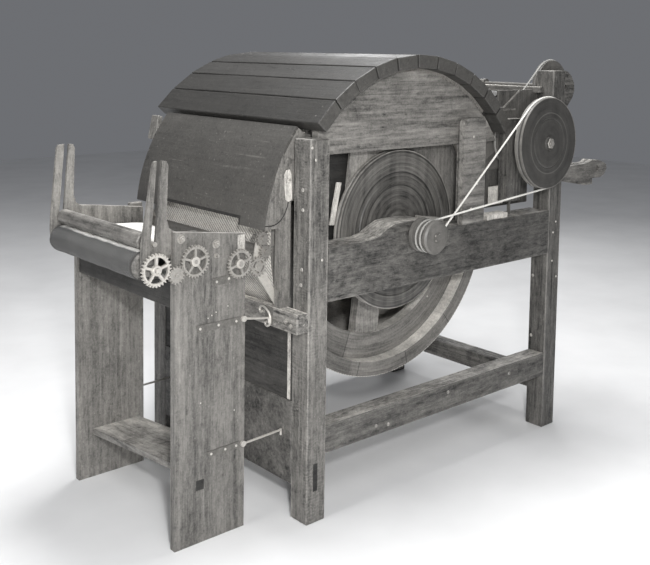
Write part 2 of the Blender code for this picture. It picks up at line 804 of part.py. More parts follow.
def feed_sides():
    roller_hole = [circle(FRONT_ROLLER, SPINDLE_R + 0.0006)]
    low, high = PLANK_X
    plank = [(low, 0.0), (high, 0.0), (high, PLANK_TOP_Z[1]), (low, PLANK_TOP_Z[0])]
    rear_hole = circle(REAR_ROLLER, SPINDLE_R + 0.0006)
    stud_hole = circle(MIDDLE_WHEEL, 0.0066, 16)
    near = plate(plank, PLANK_NEAR_Y, [rear_hole, stud_hole])
    near_fork = plate(fork_outline(0.0), (PLANK_NEAR_Y[1] - 0.003, PLANK_NEAR_Y[1] + FORK_THICK), roller_hole)
    pinion = pinion_place()
    tab = [
        *arc(pinion, 0.013, math.radians(90), math.radians(270), 9),
        (-0.350, pinion[1] - 0.013),
        (-0.350, pinion[1] + 0.013),
    ]
    stud_plate = plate(tab, (0.1175, PLANK_NEAR_Y[0] + 0.001), [circle(pinion, 0.0066, 16)])
    node("feed_side_near", joined(near, near_fork, stud_plate), "pine")
    far_plank = plate(plank, PLANK_FAR_Y, [rear_hole])
    far_fork = plate(fork_outline(0.012), (PLANK_FAR_Y[0] - FORK_THICK, PLANK_FAR_Y[0] + 0.003), roller_hole)
    node("feed_side_far", joined(far_plank, far_fork), "pine")


def feed_boards():
    inside = (PLANK_NEAR_Y[1] + GAP, PLANK_FAR_Y[0] - GAP)
    shelf = box((-0.338, -0.160), inside, (0.205, 0.226), 0.002)
    lean = Matrix.Identity(4)
    lean[2][1] = -SHELF_SLOPE
    lean[2][3] = SHELF_SLOPE * inside[0]
    shelf.transform(lean)
    node("feed_shelf", shelf, "pine")
    node("feed_stretcher", box((-0.382, -0.362), inside, (0.706, 0.780), 0.002), "pine")
    fork_inside = (PLANK_NEAR_Y[1] + FORK_THICK + GAP, PLANK_FAR_Y[0] - FORK_THICK - GAP)
    slope = math.atan2(
        REAR_ROLLER[1] + REAR_ROLLER_R - FRONT_ROLLER[1] - FRONT_ROLLER_R, REAR_ROLLER[0] - FRONT_ROLLER[0]
    )
    top_left = (-0.406, FRONT_ROLLER[1] + FRONT_ROLLER_R + 0.0505 * math.tan(slope) - 0.0012)
    length = 0.178
    thick = 0.016
    along = (math.cos(slope), math.sin(slope))
    outline = [
        top_left,
        (top_left[0] + length * along[0], top_left[1] + length * along[1]),
        (top_left[0] + length * along[0], top_left[1] + length * along[1] - thick),
        (top_left[0], top_left[1] - thick),
    ]
    node("feed_table", plate(outline, fork_inside), "pine")


def belt_outline(radius_front, radius_rear, count=17):
    along = math.atan2(REAR_ROLLER[1] - FRONT_ROLLER[1], REAR_ROLLER[0] - FRONT_ROLLER[0])
    lean = math.asin((radius_front - radius_rear) / math.dist(FRONT_ROLLER, REAR_ROLLER))
    top = along + math.pi / 2 - lean
    bottom = along - math.pi / 2 + lean
    loop = arc(FRONT_ROLLER, radius_front, top, bottom + 2 * math.pi, count)
    return loop + arc(REAR_ROLLER, radius_rear, bottom, top, count)


def feed_rollers():
    clear = 0.0006
    outer = belt_outline(FRONT_ROLLER_R + clear + APRON_THICK, REAR_ROLLER_R + clear + APRON_THICK)
    inner = belt_outline(FRONT_ROLLER_R + clear, REAR_ROLLER_R + clear)
    node("feed_apron", plate(outer, APRON_Y, [inner]), "canvas", smooth=True)
    low, high = ROLLER_Y
    chamfer = 0.006
    body = [
        (SPINDLE_R - 0.001, low),
        (FRONT_ROLLER_R - chamfer, low),
        (FRONT_ROLLER_R, low + chamfer),
        (FRONT_ROLLER_R, high - chamfer),
        (FRONT_ROLLER_R - chamfer, high),
        (SPINDLE_R - 0.001, high),
    ]
    spindle = rod(FRONT_ROLLER, SPINDLE_R, (0.102, 0.716), 20)
    node("front_roller", joined(turned(body, FRONT_ROLLER, 40), spindle), "pine", FRONT_ROLLER, smooth=True)
    rear = rod(REAR_ROLLER, REAR_ROLLER_R, ROLLER_Y, 36)
    rear_spindle = rod(REAR_ROLLER, SPINDLE_R, (0.102, 0.735), 20)
    wheel = wheel_mesh(REAR_ROLLER, TEETH_REAR, PHASE["rear"], 4)
    node("rear_roller", joined(rear, rear_spindle, wheel), "iron", REAR_ROLLER, smooth=True)
    barrel = rod(LOWER_ROLLER, FEED_ROLLER_R, (0.128, FRAME_WIDTH - 0.128), 28)
    bar = rod(LOWER_ROLLER, SPINDLE_R, (0.102, FRAME_WIDTH - STAY_Y[0] + 0.004), 20)
    toothed = wheel_mesh(LOWER_ROLLER, TEETH_LOWER, PHASE["lower"], 0)
    node("feed_roller_lower", joined(barrel, bar, toothed), "iron", LOWER_ROLLER, smooth=True)
    stub = rod(UPPER_ROLLER, SPINDLE_R, (0.102, STAY_Y[1] + UPPER_STUB), 20)
    toothed = wheel_mesh(UPPER_ROLLER, TEETH_UPPER, PHASE["upper"], 0)
    node("feed_roller_upper", joined(stub, toothed), "iron", UPPER_ROLLER, smooth=True)


def lap():
    centre = (SLOT_BOTTOM[0] + 0.0001, SLOT_BOTTOM[1] + 0.0002)
    span = (PLANK_NEAR_Y[1] - LAP_SPINDLE_OVERHANG, PLANK_FAR_Y[0] + LAP_SPINDLE_OVERHANG)
    node("lap_spindle", rod(centre, LAP_SPINDLE_R, span, 16), "iron", centre, smooth=True)
    low, high = LAP_ROLLER_Y
    bore = LAP_SPINDLE_R + 0.0006
    profile = [
        (bore, low),
        (LAP_ROLLER_R - 0.004, low),
        (LAP_ROLLER_R, low + 0.004),
        (LAP_ROLLER_R, high - 0.004),
        (LAP_ROLLER_R - 0.004, high),
        (bore, high),
    ]
    node("lap_roller", turned(profile, centre, 32), "turned_wood", centre, smooth=True)


# ---------------------------------------------------------------- gear wheels
def meshed(centre, teeth, phase, other, other_teeth):
    """The phase that puts the other wheel's teeth between this one's."""
    step = 2 * math.pi / teeth
    other_step = 2 * math.pi / other_teeth
    towards = math.atan2(other[1] - centre[1], other[0] - centre[0])
    share = ((towards - phase) / step) % 1.0
    return towards + math.pi + (share - 0.5) * other_step


def pinion_place():
    """The pinion hangs just below the line from the front wheel to the middle wheel, in mesh with both."""
    reach = pitch_radius(TEETH_FRONT) + pitch_radius(TEETH_PINION)
    half = math.dist(FRONT_ROLLER, MIDDLE_WHEEL) / 2
    along = math.atan2(MIDDLE_WHEEL[1] - FRONT_ROLLER[1], MIDDLE_WHEEL[0] - FRONT_ROLLER[0])
    return polar(FRONT_ROLLER, reach, along - math.acos(half / reach))


def phases():
    """Phases of the two trains: front wheel, pinion, middle wheel; rear wheel, idler, lower and upper roller."""
    found = {"front": 0.0}
    pinion = pinion_place()
    found["pinion"] = meshed(FRONT_ROLLER, TEETH_FRONT, 0.0, pinion, TEETH_PINION)
    found["middle"] = meshed(pinion, TEETH_PINION, found["pinion"], MIDDLE_WHEEL, TEETH_FRONT)
    found["rear"] = 0.1
    found["idler"] = meshed(REAR_ROLLER, TEETH_REAR, found["rear"], IDLER_WHEEL, TEETH_IDLER)
    found["lower"] = meshed(IDLER_WHEEL, TEETH_IDLER, found["idler"], LOWER_ROLLER, TEETH_LOWER)
    found["upper"] = meshed(LOWER_ROLLER, TEETH_LOWER, found["lower"], UPPER_ROLLER, TEETH_UPPER)
    return found


PHASE = phases()


def gear_outline(centre, teeth, phase):
    pitch = pitch_radius(teeth)
    step = 2 * math.pi / teeth
    tip = pitch + 0.9 * MODULE
    root = pitch - 1.1 * MODULE
    points = []
    for index in range(teeth):
        middle = phase + index * step
        for radius, share in ((root, -0.30), (tip, -0.10), (tip, 0.10), (root, 0.30)):
            points.append(polar(centre, radius, middle + share * step))
    return points


def wheel_mesh(centre, teeth, phase, spokes):
    windows = []
    rim = pitch_radius(teeth) - 1.1 * MODULE - 0.005
    hub = 0.015
    for index in range(spokes):
        span = 2 * math.pi / spokes
        start = index * span + 0.3
        outer_lean = 0.0035 / rim
        inner_lean = 0.0035 / hub
        outer = arc(centre, rim, start + outer_lean, start + span - outer_lean, 7)
        inner = arc(centre, hub, start + span - inner_lean, start + inner_lean, 4)
        windows.append(outer + inner)
    return plate(gear_outline(centre, teeth, phase), GEAR_Y, windows)


def gear_wheels():
    front = wheel_mesh(FRONT_ROLLER, TEETH_FRONT, PHASE["front"], 5)
    bore = rod(FRONT_ROLLER, SPINDLE_R + GAP, (0.05, 0.15), 20)
    node("wheel_front", cut(front, bore), "iron", FRONT_ROLLER)
    pinion = pinion_place()
    arbors = (
        ("wheel_pinion", pinion, TEETH_PINION, "pinion", 0, (0.1045, 0.1250)),
        ("wheel_middle", MIDDLE_WHEEL, TEETH_FRONT, "middle", 5, (0.1045, 0.1460)),
        ("wheel_idler", IDLER_WHEEL, TEETH_IDLER, "idler", 4, (0.1045, 0.1240)),
    )
    for name, centre, teeth, key, spokes, span in arbors:
        wheel = joined(wheel_mesh(centre, teeth, PHASE[key], spokes), rod(centre, 0.006, span, 16))
        node(name, wheel, "iron", centre)


def feed_bearings():
    """Slim iron stays on the front cross bar that carry the pair of feed rollers and the idler wheel's stud."""
    holes = [circle(centre, SPINDLE_R + 0.0006) for centre in (LOWER_ROLLER, UPPER_ROLLER)]
    foot = CROSS_BAR_TOP + GAP
    outline = [
        (-0.030, foot),
        (-0.006, foot),
        (IDLER_WHEEL[0] + 0.022, IDLER_WHEEL[1] - 0.002),
        (LOWER_ROLLER[0] + 0.016, LOWER_ROLLER[1]),
        *arc(UPPER_ROLLER, 0.015, math.radians(0), math.radians(180), 9),
        (IDLER_WHEEL[0] - 0.014, IDLER_WHEEL[1] + 0.014),
        (IDLER_WHEEL[0] - 0.013, IDLER_WHEEL[1] - 0.008),
    ]
    for side, y in (("near", STAY_Y), ("far", far(STAY_Y))):
        stud = [circle(IDLER_WHEEL, 0.0066, 16)] if side == "near" else []
        node(f"feed_bearing_{side}", plate(outline, y, holes + stud), "iron")


# ---------------------------------------------------------------- hooks between the stand and the frame
def hooks():
    """Long iron hooks, each turning on an eye at the edge of a feed plank, that hold the stand to the frame."""
    upper = ("upper", (-0.1500, 0.6430), (-0.0550, 0.6285))
    lower = ("lower", (-0.1500, 0.2600), (-0.0045, 0.2650))
    for side, face, way, levels in (
        ("near", PLANK_NEAR_Y[0], -1, (upper, lower)),
        ("far", PLANK_FAR_Y[1], 1, (lower,)),
    ):
        middle = face + way * 0.0048
        thick = sorted((face + way * 0.0013, face + way * 0.0083))
        for level, eye, tip in levels:
            stem = tube([(eye[0] + 0.004, middle, eye[1]), (tip[0], middle, tip[1])], 0.0036)
            bent = tube([(tip[0], middle, tip[1] + 0.004), (tip[0], middle, tip[1] - 0.016)], 0.0036)
            shape = joined(rod(eye, 0.009, thick, 20), stem, bent)
            node(f"hook_{level}_{side}", shape, "iron", eye)


# ---------------------------------------------------------------- the whole machine
posts()
rails()
cross_members()
arch_boards()
flats()
front_cover()
cheeks()
doffer_cover()
cylinder()
doffer_bearings()
doffer()
comb_drive()
crank_bearings()
comb_brackets()
comb()
cords()
feed_sides()
feed_boards()
feed_rollers()
lap()
gear_wheels()
feed_bearings()
hooks()

corners = [part.location + vertex.co for part in machine.children for vertex in part.data.vertices]
for axis in (0, 1):
    values = [corner[axis] for corner in corners]
    machine.location[axis] = -(min(values) + max(values)) / 2
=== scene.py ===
import math
import random

import bmesh
import bpy
from mathutils import Matrix, Vector, noise


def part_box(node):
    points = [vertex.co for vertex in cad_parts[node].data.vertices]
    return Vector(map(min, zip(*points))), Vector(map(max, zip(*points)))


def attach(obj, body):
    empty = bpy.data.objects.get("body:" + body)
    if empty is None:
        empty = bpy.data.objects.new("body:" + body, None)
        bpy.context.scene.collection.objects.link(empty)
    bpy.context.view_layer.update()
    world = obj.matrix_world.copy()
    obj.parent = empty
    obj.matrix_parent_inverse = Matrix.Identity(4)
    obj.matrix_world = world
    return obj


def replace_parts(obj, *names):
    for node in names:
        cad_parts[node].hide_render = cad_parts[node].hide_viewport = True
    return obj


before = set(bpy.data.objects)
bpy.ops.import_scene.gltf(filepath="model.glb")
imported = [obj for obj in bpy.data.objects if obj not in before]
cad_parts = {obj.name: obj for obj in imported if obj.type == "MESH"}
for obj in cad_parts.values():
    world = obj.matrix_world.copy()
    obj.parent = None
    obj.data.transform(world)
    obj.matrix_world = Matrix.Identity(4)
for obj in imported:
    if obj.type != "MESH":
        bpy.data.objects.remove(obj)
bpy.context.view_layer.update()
rng = random.Random(7)
noise.seed_set(7)

# Places, in the CAD's machine coordinates
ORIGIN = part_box("post_front_near")[0]
AXIS = (0.470, 0.844)
DOFFER = (1.075, 1.115)
CRANK = (1.302, 1.312)
FRONT_ROLLER = (-0.4565, 0.8345)
REAR_ROLLER = (-0.1735, 0.8140)
CLOTHED_R = 0.509
STAVE_INNER_R = 0.459
FELLOE_INNER_R = 0.371
DRUM_MIDDLE_Y = 0.436
FLAT_INNER_R = 0.5425
FLAT_OUTER_R = 0.5845
FLAT_PITCH = 9.55
FLATS_START = 40.5
COVER_R = (0.5692, 0.5768)
COVER_NOTCH_Z = 0.9346
CORD_PULLEY_R = 0.0475
BIG_PULLEY_R = 0.1655
COMB_PULLEY_R = 0.0995
ROPE_R = 0.0036
ROPE_PITCH = 0.026
ROPE_SEAT = 0.0010
APRON_ROLLERS_R = (0.039, 0.036)
APRON_WIDTH = (0.1785, 0.6780)
APRON_CLEARANCE = 0.0016
PLANK_FACE_Y = 0.1252
FACE_LIFT = 0.0004
FAR_FACE_Y = 0.8724


def place(x, y, z):
    return ORIGIN + Vector((x, y, z))


def polar(centre, radius, angle):
    return (centre[0] + radius * math.cos(angle), centre[1] + radius * math.sin(angle))


def arc(centre, radius, start, end, count):
    return [polar(centre, radius, start + (end - start) * i / (count - 1)) for i in range(count)]


def middle_of(node):
    low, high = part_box(node)
    return ((low.x + high.x) / 2 - ORIGIN.x, (low.z + high.z) / 2 - ORIGIN.z)


# Node trees
TINT = (1.045, 1.0, 0.925)


class Tree:
    """Short calls for the shader nodes that the materials below use."""

    def __init__(self, name):
        self.material = bpy.data.materials.new(name)
        self.material.use_nodes = True
        self.nodes = self.material.node_tree.nodes
        self.links = self.material.node_tree.links
        self.shader = self.nodes["Principled BSDF"]
        coords = self.nodes.new("ShaderNodeTexCoord")
        self.here = coords.outputs["Object"]
        self.facing = coords.outputs["Normal"]

    def feed(self, socket, value):
        if isinstance(value, bpy.types.NodeSocket):
            self.links.new(value, socket)
        elif value is not None:
            socket.default_value = value

    def math(self, operation, a, b=None, c=None, clamp=False):
        node = self.nodes.new("ShaderNodeMath")
        node.operation = operation
        node.use_clamp = clamp
        for socket, value in zip(node.inputs, (a, b, c)):
            self.feed(socket, value)
        return node.outputs[0]

    def plus(self, a, b):
        return self.math("ADD", a, b)

    def minus(self, a, b):
        return self.math("SUBTRACT", a, b)

    def times(self, a, b):
        return self.math("MULTIPLY", a, b)

    def times_plus(self, a, b, c):
        return self.math("MULTIPLY_ADD", a, b, c)

    def size(self, a):
        return self.math("ABSOLUTE", a)

    def vector(self, operation, a, b=None):
        node = self.nodes.new("ShaderNodeVectorMath")
        node.operation = operation
        self.feed(node.inputs[0], a)
        self.feed(node.inputs[1], b)
        return node.outputs["Value" if operation in ("LENGTH", "DOT_PRODUCT") else "Vector"]

    def stretch(self, vector, factors):
        return self.vector("MULTIPLY", vector, factors)

    def split(self, vector):
        node = self.nodes.new("ShaderNodeSeparateXYZ")
        self.feed(node.inputs[0], vector)
        return node.outputs[0], node.outputs[1], node.outputs[2]

    def join(self, x, y, z):
        node = self.nodes.new("ShaderNodeCombineXYZ")
        for socket, value in zip(node.inputs, (x, y, z)):
            self.feed(socket, value)
        return node.outputs[0]

    def noise(self, vector, scale=1.0, detail=4.0, rough=0.55, distort=0.0):
        node = self.nodes.new("ShaderNodeTexNoise")
        self.feed(node.inputs["Vector"], vector)
        node.inputs["Scale"].default_value = scale
        node.inputs["Detail"].default_value = detail
        node.inputs["Roughness"].default_value = rough
        node.inputs["Distortion"].default_value = distort
        return node.outputs[0]

    def wave(self, vector, scale, distort=1.0, detail=2.0, axis="X"):
        node = self.nodes.new("ShaderNodeTexWave")
        node.bands_direction = axis
        self.feed(node.inputs["Vector"], vector)
        node.inputs["Scale"].default_value = scale
        node.inputs["Distortion"].default_value = distort
        node.inputs["Detail"].default_value = detail
        return node.outputs["Fac"]

    def vary(self, fill, texture, amount):
        """fill, raised where the texture is over its middle and lowered where it is under it."""
        return self.times_plus(self.minus(texture, 0.5), amount, fill)

    def span(self, value, low, high, to_low=0.0, to_high=1.0):
        node = self.nodes.new("ShaderNodeMapRange")
        node.clamp = True
        for socket, item in zip(node.inputs, (value, low, high, to_low, to_high)):
            self.feed(socket, item)
        return node.outputs[0]

    def grey(self, value, tint=TINT):
        return self.join(*(self.times(value, part) for part in tint))

    def finish(self, value, rough, bump=None, strength=0.3, depth=0.001, metal=0.0, tint=TINT, sheen=0.0):
        self.feed(self.shader.inputs["Base Color"], self.grey(value, tint))
        self.feed(self.shader.inputs["Roughness"], rough)
        self.feed(self.shader.inputs["Metallic"], metal)
        self.shader.inputs["Sheen Weight"].default_value = sheen
        if bump is not None:
            node = self.nodes.new("ShaderNodeBump")
            node.inputs["Strength"].default_value = strength
            node.inputs["Distance"].default_value = depth
            self.feed(node.inputs["Height"], bump)
            self.feed(self.shader.inputs["Normal"], node.outputs[0])
        return self.material


# (slow figure, streaks, fibres) frequencies per metre along x, y and z for each grain direction
STRETCH = {
    "X": ((1.6, 20.0, 20.0), (3.0, 85.0, 85.0), (9.0, 420.0, 420.0)),
    "Y": ((20.0, 1.6, 20.0), (85.0, 3.0, 85.0), (420.0, 9.0, 420.0)),
    "Z": ((20.0, 20.0, 1.6), (85.0, 85.0, 3.0), (420.0, 420.0, 9.0)),
}
AXES = {"X": 0, "Y": 1, "Z": 2}


def timber(
    name, tone, grain="Z", streak=0.30, figure=0.25, stain=0.25, specks=0.5, bump=0.5, rough=0.6, end=None,
    chatter=0.0, shift=0.0, fade=None, worn=None, wear=0.5, mottle=0.25, dust_and_top_light=0.9,
):
    """Old timber: growth figure, streaks and fibres along the grain, stains, pale nicks, dark dents.

    end brightens the end grain. chatter adds plane marks across the grain. fade changes the tone along an
    axis, as (axis index, from, to, factor at the end). worn names a squared node whose long edges are rubbed.
    mottle speckles the surface light and dark, and dust pales the faces that look up: settled dirt together
    with painted top light."""
    tree = Tree(name)
    coords = tree.vector("ADD", tree.here, (shift, shift * 1.7, shift * 0.6))
    slow, middle, fine = STRETCH[grain]

    bands = tree.noise(tree.stretch(coords, slow), 1.0, 4.0, 0.6, 0.8)
    lines = tree.noise(tree.stretch(coords, middle), 1.0, 4.0, 0.65, 0.5)
    fibres = tree.noise(tree.stretch(coords, fine), 1.0, 3.0, 0.6)
    patches = tree.noise(coords, 5.5, 6.0, 0.68, 0.4)
    grainy = tree.noise(coords, 150.0, 4.0, 0.75)
    fill = tree.vary(1.0, bands, 8.0 * figure)
    fill = tree.vary(fill, lines, 8.0 * streak)
    fill = tree.vary(fill, fibres, 8.0 * streak * 0.35)
    fill = tree.vary(fill, patches, 8.0 * stain)
    fill = tree.vary(fill, grainy, 8.0 * 0.16)
    stretched = tuple(26.0 if axis == AXES[grain] else 90.0 for axis in range(3))
    blotches = tree.noise(tree.stretch(coords, stretched), 1.0, 6.0, 0.8)
    fill = tree.vary(fill, blotches, 8.0 * mottle)
    height = tree.times_plus(fibres, 0.5, tree.times(lines, 0.8))
    height = tree.times_plus(grainy, 0.4, height)
    dents = tree.span(tree.noise(coords, 30.0, 5.0, 0.75), 0.59, 0.66)
    height = tree.minus(height, tree.times(dents, 0.6))
    fill = tree.minus(fill, tree.times(dents, 0.30))
    checks = tree.size(tree.minus(bands, 0.47))
    checks = tree.times(tree.span(checks, 0.0, 0.006, 1.0, 0.0), tree.span(patches, 0.50, 0.56))
    fill = tree.minus(fill, tree.times(checks, 0.5))
    height = tree.minus(height, tree.times(checks, 1.2))
    if chatter:
        ripple = tree.wave(coords, 30.0, 11.0, 4.0, grain)
        where = tree.span(tree.noise(coords, 11.0, 3.0), 0.40, 0.64)
        ripple = tree.times(tree.minus(ripple, 0.5), where)
        fill = tree.times_plus(ripple, chatter, fill)
        height = tree.times_plus(ripple, 0.5, height)
    if specks:
        nicks = tree.span(tree.noise(coords, 95.0, 3.0, 0.6), 0.66, 0.70)
        fill = tree.times_plus(nicks, specks, fill)
        rubs = tree.noise(tree.stretch(coords, tuple(v * 0.8 for v in middle)), 1.0, 2.0, 0.5)
        rubs = tree.times(tree.span(rubs, 0.62, 0.68), tree.span(patches, 0.46, 0.54))
        fill = tree.times_plus(rubs, specks * 0.5, fill)
    if end:
        facing = tree.split(tree.facing)[AXES[grain]]
        mask = tree.span(tree.size(facing), 0.6, 0.9)
        fill = tree.times(fill, tree.span(mask, 0.0, 1.0, 1.0, end))
    if fade:
        index, start, stop, factor = fade
        along = tree.split(tree.here)[index]
        fill = tree.times(fill, tree.span(along, start + ORIGIN[index], stop + ORIGIN[index], 1.0, factor))
    if worn:
        low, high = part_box(worn)
        across = [axis for axis in range(3) if axis != AXES[grain]]
        position = tree.split(tree.here)
        nearest = [
            tree.math("MINIMUM", tree.minus(position[a], low[a]), tree.minus(high[a], position[a]))
            for a in across
        ]
        wobble = tree.times(tree.minus(tree.noise(coords, 26.0, 4.0, 0.7), 0.42), 0.030)
        distance = tree.minus(tree.math("MAXIMUM", *nearest), tree.math("MAXIMUM", wobble, 0.0005))
        fill = tree.times_plus(tree.span(distance, 0.0, 0.004, 1.0, 0.0), wear, fill)
    value = tree.times(tree.math("MAXIMUM", fill, 0.12), tone)
    # Faces that look up are paled, several times over on the rail, bar and header tops: settled dirt together
    # with painted top light.
    if dust_and_top_light:
        upward = tree.span(tree.split(tree.facing)[2], 0.75, 0.97)
        upward = tree.times(upward, tree.span(patches, 0.36, 0.60, 0.55, 1.0))
        value = tree.times_plus(tree.times(upward, dust_and_top_light), value, value)
    roughness = tree.span(patches, 0.3, 0.7, rough + 0.10, rough - 0.10)
    return tree.finish(value, roughness, height, bump, 0.0026)


def round_coords(tree, centre):
    x, y, z = tree.split(tree.here)
    across = tree.minus(x, centre[0] + ORIGIN.x)
    up = tree.minus(z, centre[1] + ORIGIN.z)
    radius = tree.vector("LENGTH", tree.join(across, 0.0, up))
    return radius, tree.math("ARCTAN2", up, across), y, across, up


def turned(
    name, centre, tone, contrast=0.3, step=260.0, rough=0.5, bump=0.35, bright_rings=(), streak=0.25,
    dark_rings=(), outer=None, rim=None, ring_gain=0.8,
):
    """Turned wood: fine rings about its axis, faint lines that cross them, and pale or dark scribed rings.

    outer is (radius, factor) for the annulus outside that radius, and rim is the same for the brightened rim:
    rubbed wear together with painted highlight."""
    tree = Tree(name)
    radius, angle, y, across, up = round_coords(tree, centre)
    rings = tree.noise(tree.join(tree.times(radius, step), 0.0, y), 1.0, 4.0, 0.7)
    broad = tree.noise(tree.join(tree.times(radius, step * 0.16), 0.0, 3.0), 1.0, 2.0, 0.5)
    planks = tree.noise(tree.join(tree.times(across, 34.0), 5.0, tree.times(up, 2.5)), 1.0, 4.0)
    patches = tree.noise(tree.here, 9.0, 4.0, 0.6)
    swirl = tree.join(tree.times(radius, 60.0), tree.times(angle, 1.3), 0.0)
    arcs = tree.noise(swirl, 1.0, 5.0, 0.75, 0.3)
    fill = tree.vary(1.0, rings, contrast * 3.0)
    fill = tree.vary(fill, broad, contrast * 4.0)
    fill = tree.vary(fill, arcs, contrast * 5.0)
    fill = tree.vary(fill, planks, streak * 4.0)
    fill = tree.vary(fill, patches, 1.0)
    for ring in bright_rings:
        near = tree.size(tree.minus(radius, ring))
        fill = tree.times_plus(tree.span(near, 0.0006, 0.0026, 1.0, 0.0), ring_gain, fill)
    for ring in dark_rings:
        near = tree.size(tree.minus(radius, ring))
        fill = tree.times(fill, tree.span(near, 0.0008, 0.0034, 0.30, 1.0))
    scratches = tree.noise(tree.stretch(tree.here, (60.0, 60.0, 420.0)), 1.0, 3.0, 0.7)
    fill = tree.times_plus(tree.span(scratches, 0.60, 0.68), 0.35, fill)
    fill = tree.math("MAXIMUM", fill, 0.12)
    # The rim factor is rubbed wear together with painted highlight: 2.6 times on the drive pulley and 3.6
    # times on the doffer pulley.
    for edge in filter(None, (outer, rim)):
        fill = tree.times(fill, tree.span(radius, edge[0] - 0.0004, edge[0] + 0.0004, 1.0, edge[1]))
    value = tree.times(fill, tone)
    height = tree.plus(tree.times(rings, 0.8), arcs)
    return tree.finish(value, tree.span(patches, 0.3, 0.7, rough + 0.1, rough - 0.08), height, bump, 0.001)


def iron(name, tone=0.33, metal=0.55, rough=0.42, rust=0.5):
    tree = Tree(name)
    coords = tree.here
    patches = tree.noise(coords, 60.0, 6.0, 0.7)
    pits = tree.noise(coords, 420.0, 4.0, 0.7)
    fill = tree.vary(1.0, patches, rust * 2.4)
    fill = tree.vary(fill, pits, 0.5)
    value = tree.times(tree.math("MAXIMUM", fill, 0.2), tone)
    height = tree.plus(patches, tree.times(pits, 0.6))
    shine = tree.span(patches, 0.35, 0.65, rough + 0.22, rough - 0.06)
    return tree.finish(value, shine, height, 0.5, 0.0008, metal)


def clothing_twill(tree, u, v, period=0.0100):
    """Height of card clothing seen from outside: rows of wire points set on the skew in strips of leather."""
    slant = tree.times_plus(v, 0.85, u)
    rows = tree.math("SINE", tree.times(slant, 2 * math.pi / period))
    skew = tree.times_plus(v, -1.4, u)
    points = tree.math("SINE", tree.times(skew, 2 * math.pi / (period * 0.62)))
    return rows, points


def drum_material():
    """The cylinder: card clothing outside, stave ends, felloes and arms, told apart by radius and depth, with
    painted shade deep inside and painted light on the faces that look toward the axis.
    """
    tree = Tree("drum_clothing_and_wood")
    radius, angle, y, _, _ = round_coords(tree, AXIS)
    around = tree.times(angle, 0.45)
    coords = tree.here
    bent = tree.noise(tree.join(tree.times(around, 9.0), tree.times(radius, 190.0), y), 1.0, 5.0, 0.6)
    broad = tree.noise(tree.join(tree.times(around, 4.0), tree.times(radius, 34.0), y), 1.0, 3.0)
    straight = tree.noise(tree.stretch(coords, (170.0, 170.0, 7.0)), 1.0, 4.0, 0.6)
    patches = tree.noise(coords, 7.0, 5.0, 0.6)
    in_arms = tree.span(radius, FELLOE_INNER_R, FELLOE_INNER_R + 0.0005)
    fibres = tree.plus(tree.times(bent, in_arms), tree.times(straight, tree.minus(1.0, in_arms)))
    fine = tree.noise(coords, 120.0, 4.0, 0.75)
    fill = tree.vary(1.0, fibres, 1.9)
    fill = tree.vary(fill, broad, 1.3)
    fill = tree.vary(fill, patches, 1.3)
    fill = tree.vary(fill, fine, 1.4)
    fill = tree.math("MAXIMUM", fill, 0.15)
    in_staves = tree.span(radius, STAVE_INNER_R - 0.0002, STAVE_INNER_R + 0.0002)

    def joints(count, width, offset):
        turn = tree.math("FRACT", tree.times_plus(angle, count / (2 * math.pi), offset))
        return tree.span(tree.size(tree.minus(turn, 0.5)), 0.0, width, 1.0, 0.0)

    lines = tree.times(joints(13, 0.014, 0.3), in_staves)
    felloe_lines = tree.times(joints(4, 0.005, 0.72), tree.minus(in_arms, in_staves))
    gaps = tree.math("MAXIMUM", lines, felloe_lines)
    fill = tree.times(fill, tree.span(gaps, 0.0, 1.0, 1.0, 0.30))
    segment = tree.math("FLOOR", tree.times_plus(angle, 4 / (2 * math.pi), 0.22))
    segment = tree.noise(tree.join(tree.times(segment, 7.7), 1.3, 2.1), 1.0, 0.0)
    fill = tree.times(fill, tree.span(segment, 0.3, 0.7, 0.75, 1.25))
    wood = tree.times(fill, tree.span(in_arms, 0.0, 1.0, 0.22, 0.150))
    wood = tree.times(wood, tree.span(in_staves, 0.0, 1.0, 1.0, 0.92))
    # Wood away from the drum's ends, deeper inside it, is darkened to 0.8: painted shade.
    inner = tree.span(tree.size(tree.minus(y, DRUM_MIDDLE_Y + ORIGIN.y)), 0.19, 0.30, 0.8, 1.0)
    wood = tree.times(wood, inner)
    # Faces that look in toward the axis are painted up to 3.6 times brighter: painted light on the inside of
    # the drum, where little light reaches.
    facing = tree.split(tree.facing)
    inward = tree.times(facing[0], tree.math("COSINE", angle))
    inward = tree.times_plus(facing[2], tree.math("SINE", angle), inward)
    painted_bore_light = tree.span(inward, -0.9, -0.7, 3.6, 1.0)
    wood = tree.times(wood, painted_bore_light)
    on_outside = tree.span(radius, 0.5065, 0.5075)
    rows, points = clothing_twill(tree, tree.times(angle, CLOTHED_R), y, 0.0125)
    pattern = tree.times_plus(rows, 0.75, tree.times(points, 0.25))
    strip = tree.math("FRACT", tree.times(angle, 3.1))
    seam = tree.span(strip, 0.0, 0.03, 1.0, 0.0)
    dusty = tree.vary(0.47, patches, 0.50)
    cloth = tree.times_plus(pattern, 0.24, dusty)
    cloth = tree.vary(cloth, fine, 0.55)
    cloth = tree.minus(cloth, tree.times(seam, 0.14))
    value = tree.plus(tree.times(cloth, on_outside), tree.times(wood, tree.minus(1.0, on_outside)))
    height = tree.plus(tree.times(pattern, on_outside), tree.times(tree.minus(fibres, gaps), 0.5))
    return tree.finish(tree.math("MAXIMUM", value, 0.015), 0.62, height, 0.6, 0.0014)


